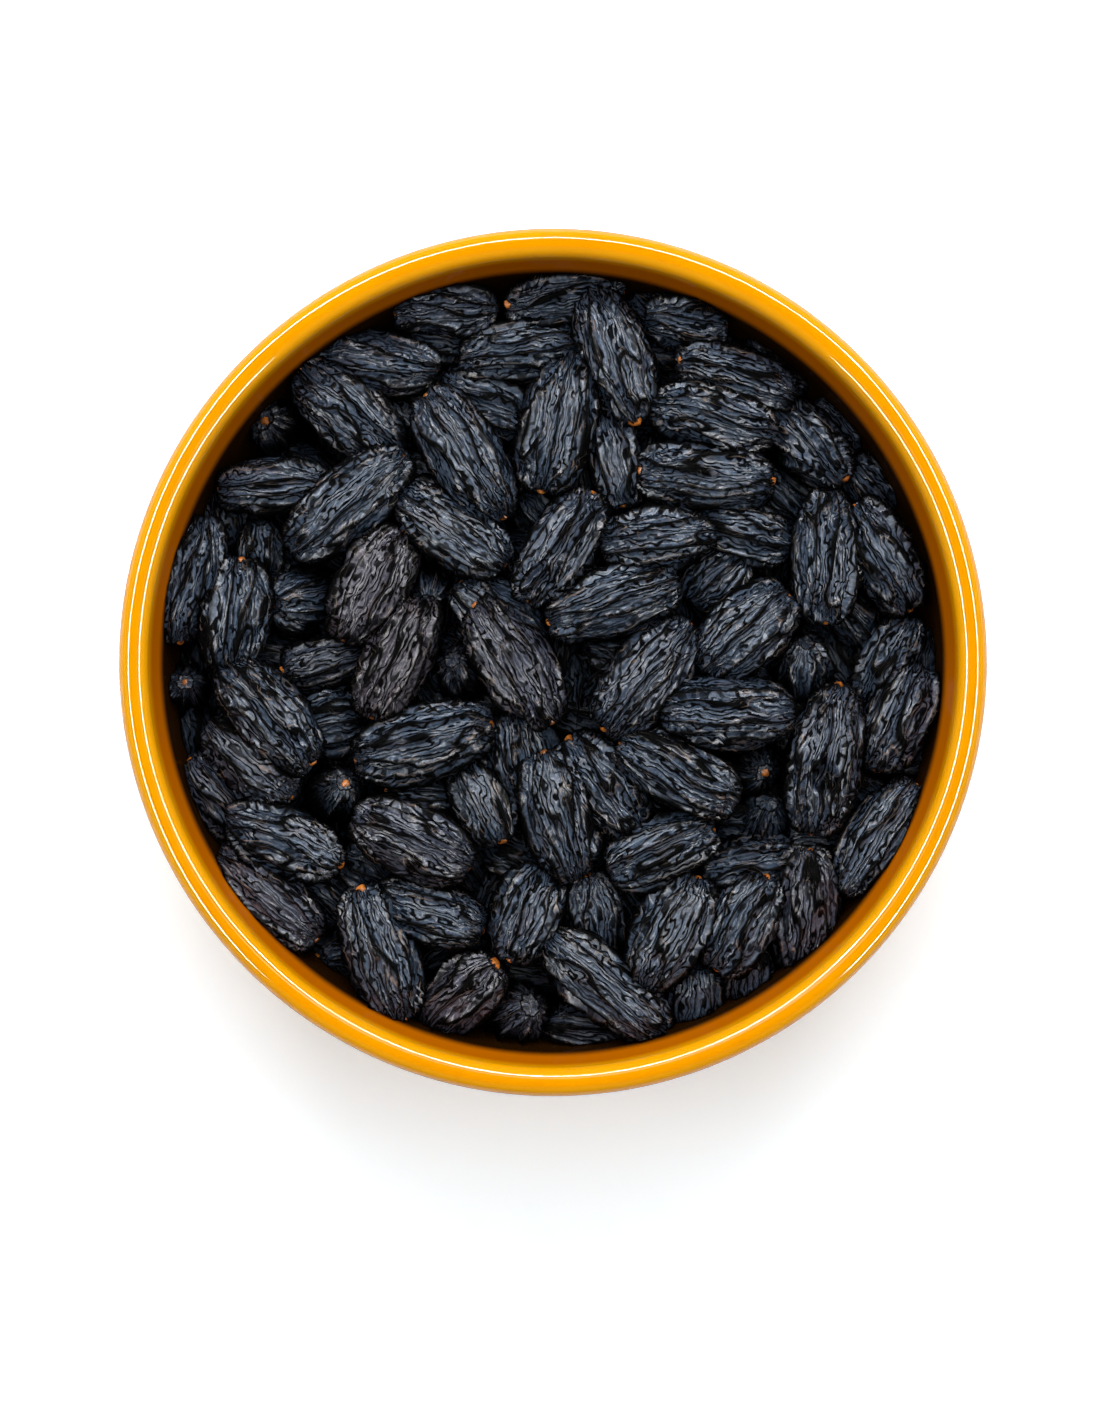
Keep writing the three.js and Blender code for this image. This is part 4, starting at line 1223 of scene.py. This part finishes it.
def hung_lamp(name, heading, elevation, distance, size, share, spread, mirrored, power):
    """A lamp that points at the middle of the rim."""
    lamp = bpy.data.lights.new(name, "AREA")
    lamp.shape = "RECTANGLE"
    lamp.size, lamp.size_y = size
    lamp.energy = share * power
    lamp.color = COOL if spread else NEUTRAL
    holder = bpy.data.objects.new(name, lamp)
    level, rise = math.radians(heading), math.radians(elevation)
    out = Vector((math.cos(level) * math.cos(rise), math.sin(level) * math.cos(rise), math.sin(rise)))
    holder.location = Vector((0, 0, BOWL_HEIGHT)) + out * distance
    holder.rotation_euler = (-out).to_track_quat("-Z", "Y").to_euler()
    holder.visible_diffuse = spread
    holder.visible_glossy = mirrored
    return holder


def photo_camera():
    """A camera straight above the bowl, which frames it as in the photograph."""
    camera = bpy.data.cameras.new("camera")
    camera.sensor_width = SENSOR
    camera.lens = SENSOR * (CAMERA_ABOVE_RIM + EDGE_BELOW_TOP) / (PHOTO_HEIGHT * METRES_PER_PIXEL)
    camera.shift_x = (PHOTO_WIDTH / 2 - PHOTO_CENTRE_X) / PHOTO_HEIGHT
    camera.shift_y = (PHOTO_CENTRE_Y - PHOTO_HEIGHT / 2) / PHOTO_HEIGHT
    camera.clip_start = NEAREST_SEEN
    viewer = bpy.data.objects.new("camera", camera)
    viewer.location = (0, 0, BOWL_HEIGHT + CAMERA_ABOVE_RIM)
    return viewer


# Operators


class RAISINS_OT_bowl(bpy.types.Operator):
    """Make the glazed bowl"""

    bl_idname = "raisins.bowl"
    bl_label = "Bowl"

    def execute(self, context):
        mesh = turned_mesh("glazed_bowl", *bowl_profile(), context.scene.bowl.sides)
        mesh.materials.append(glaze_material())
        put("glazed_bowl", mesh, "bowl")
        return {"FINISHED"}


class RAISINS_OT_top(bpy.types.Operator):
    """Make the raisins that lie on top of the heap, one piece each"""

    bl_idname = "raisins.top"
    bl_label = "Top raisins"

    def execute(self, context):
        settings = context.scene.raisins
        for number, row in enumerate(TOP_RAISINS, 1):
            node = f"raisin_{number:02d}"
            raisins = [raisin_from_row(row, number)]
            mesh = grown_mesh(f"wrinkled_{node}", raisins, settings.columns, settings.rings)
            if number in PITS:
                press_pit(mesh, *PITS[number])
            put(f"wrinkled_{node}", mesh, node)
        return {"FINISHED"}


class RAISINS_OT_bed(bpy.types.Operator):
    """Make the raisins of the lower layers, which show in the gaps"""

    bl_idname = "raisins.bed"
    bl_label = "Lower raisins"

    def execute(self, context):
        lower = [raisin_from_row(row, seed) for seed, row in enumerate(LOWER_RAISINS, FIRST_LOWER_SEED)]
        deep = [raisin_from_row(row, seed) for seed, row in enumerate(DEEP_RAISINS, FIRST_DEEP_SEED)]
        layers = {
            "second_layer_raisins": (lower, LOWER_FACETS),
            "deep_raisins": (deep, DEEP_FACETS),
            "hidden_raisins": (hidden_raisins(), HIDDEN_FACETS),
        }
        for name, (raisins, facets) in layers.items():
            put(name, grown_mesh(name, raisins, *facets), "raisin_bed")
        return {"FINISHED"}


class RAISINS_OT_stage(bpy.types.Operator):
    """Set up the floor, the lights and the camera"""

    bl_idname = "raisins.stage"
    bl_label = "Stage"

    def execute(self, context):
        settings = context.scene.stage
        floor = floor_sheet(settings)
        context.collection.objects.link(floor)

        world = bpy.data.worlds.new("Even light")
        world.use_nodes = True
        background = world.node_tree.nodes["Background"]
        background.inputs["Color"].default_value = (*NEUTRAL, 1)
        background.inputs["Strength"].default_value = settings.fill
        context.scene.world = world

        for lamps, power in ((KEY_LAMPS, settings.key_power), (STRIP_LAMPS, settings.strip_power)):
            for row in lamps:
                context.collection.objects.link(hung_lamp(*row, power))

        context.scene.camera = photo_camera()
        context.collection.objects.link(context.scene.camera)
        context.scene.view_settings.view_transform = "Standard"
        return {"FINISHED"}


class RAISINS_PT_panel(bpy.types.Panel):
    """Shows the settings and the buttons that make the pieces"""

    bl_idname = "RAISINS_PT_panel"
    bl_label = "Bowl of black raisins"
    bl_space_type = "VIEW_3D"
    bl_region_type = "UI"
    bl_category = "Raisins"

    def draw(self, context):
        layout = self.layout
        for settings in (context.scene.bowl, context.scene.raisins, context.scene.stage):
            box = layout.box()
            for label in settings.bl_rna.properties.keys():
                if label not in ("rna_type", "name"):
                    box.prop(settings, label)
        for operator in OPERATORS:
            layout.operator(operator.bl_idname)


SETTINGS = {"bowl": BowlSettings, "raisins": RaisinSettings, "stage": StageSettings}
OPERATORS = (RAISINS_OT_stage, RAISINS_OT_bowl, RAISINS_OT_top, RAISINS_OT_bed)


def register():
    for label, group in SETTINGS.items():
        bpy.utils.register_class(group)
        setattr(bpy.types.Scene, label, PointerProperty(type=group))
    for operator in OPERATORS:
        bpy.utils.register_class(operator)
    bpy.utils.register_class(RAISINS_PT_panel)


def unregister():
    bpy.utils.unregister_class(RAISINS_PT_panel)
    for operator in reversed(OPERATORS):
        bpy.utils.unregister_class(operator)
    for label, group in SETTINGS.items():
        delattr(bpy.types.Scene, label)
        bpy.utils.unregister_class(group)


def main():
    register()
    bpy.ops.raisins.stage()
    bpy.ops.raisins.bowl()
    bpy.ops.raisins.top()
    bpy.ops.raisins.bed()


if __name__ == "__main__":
    main()
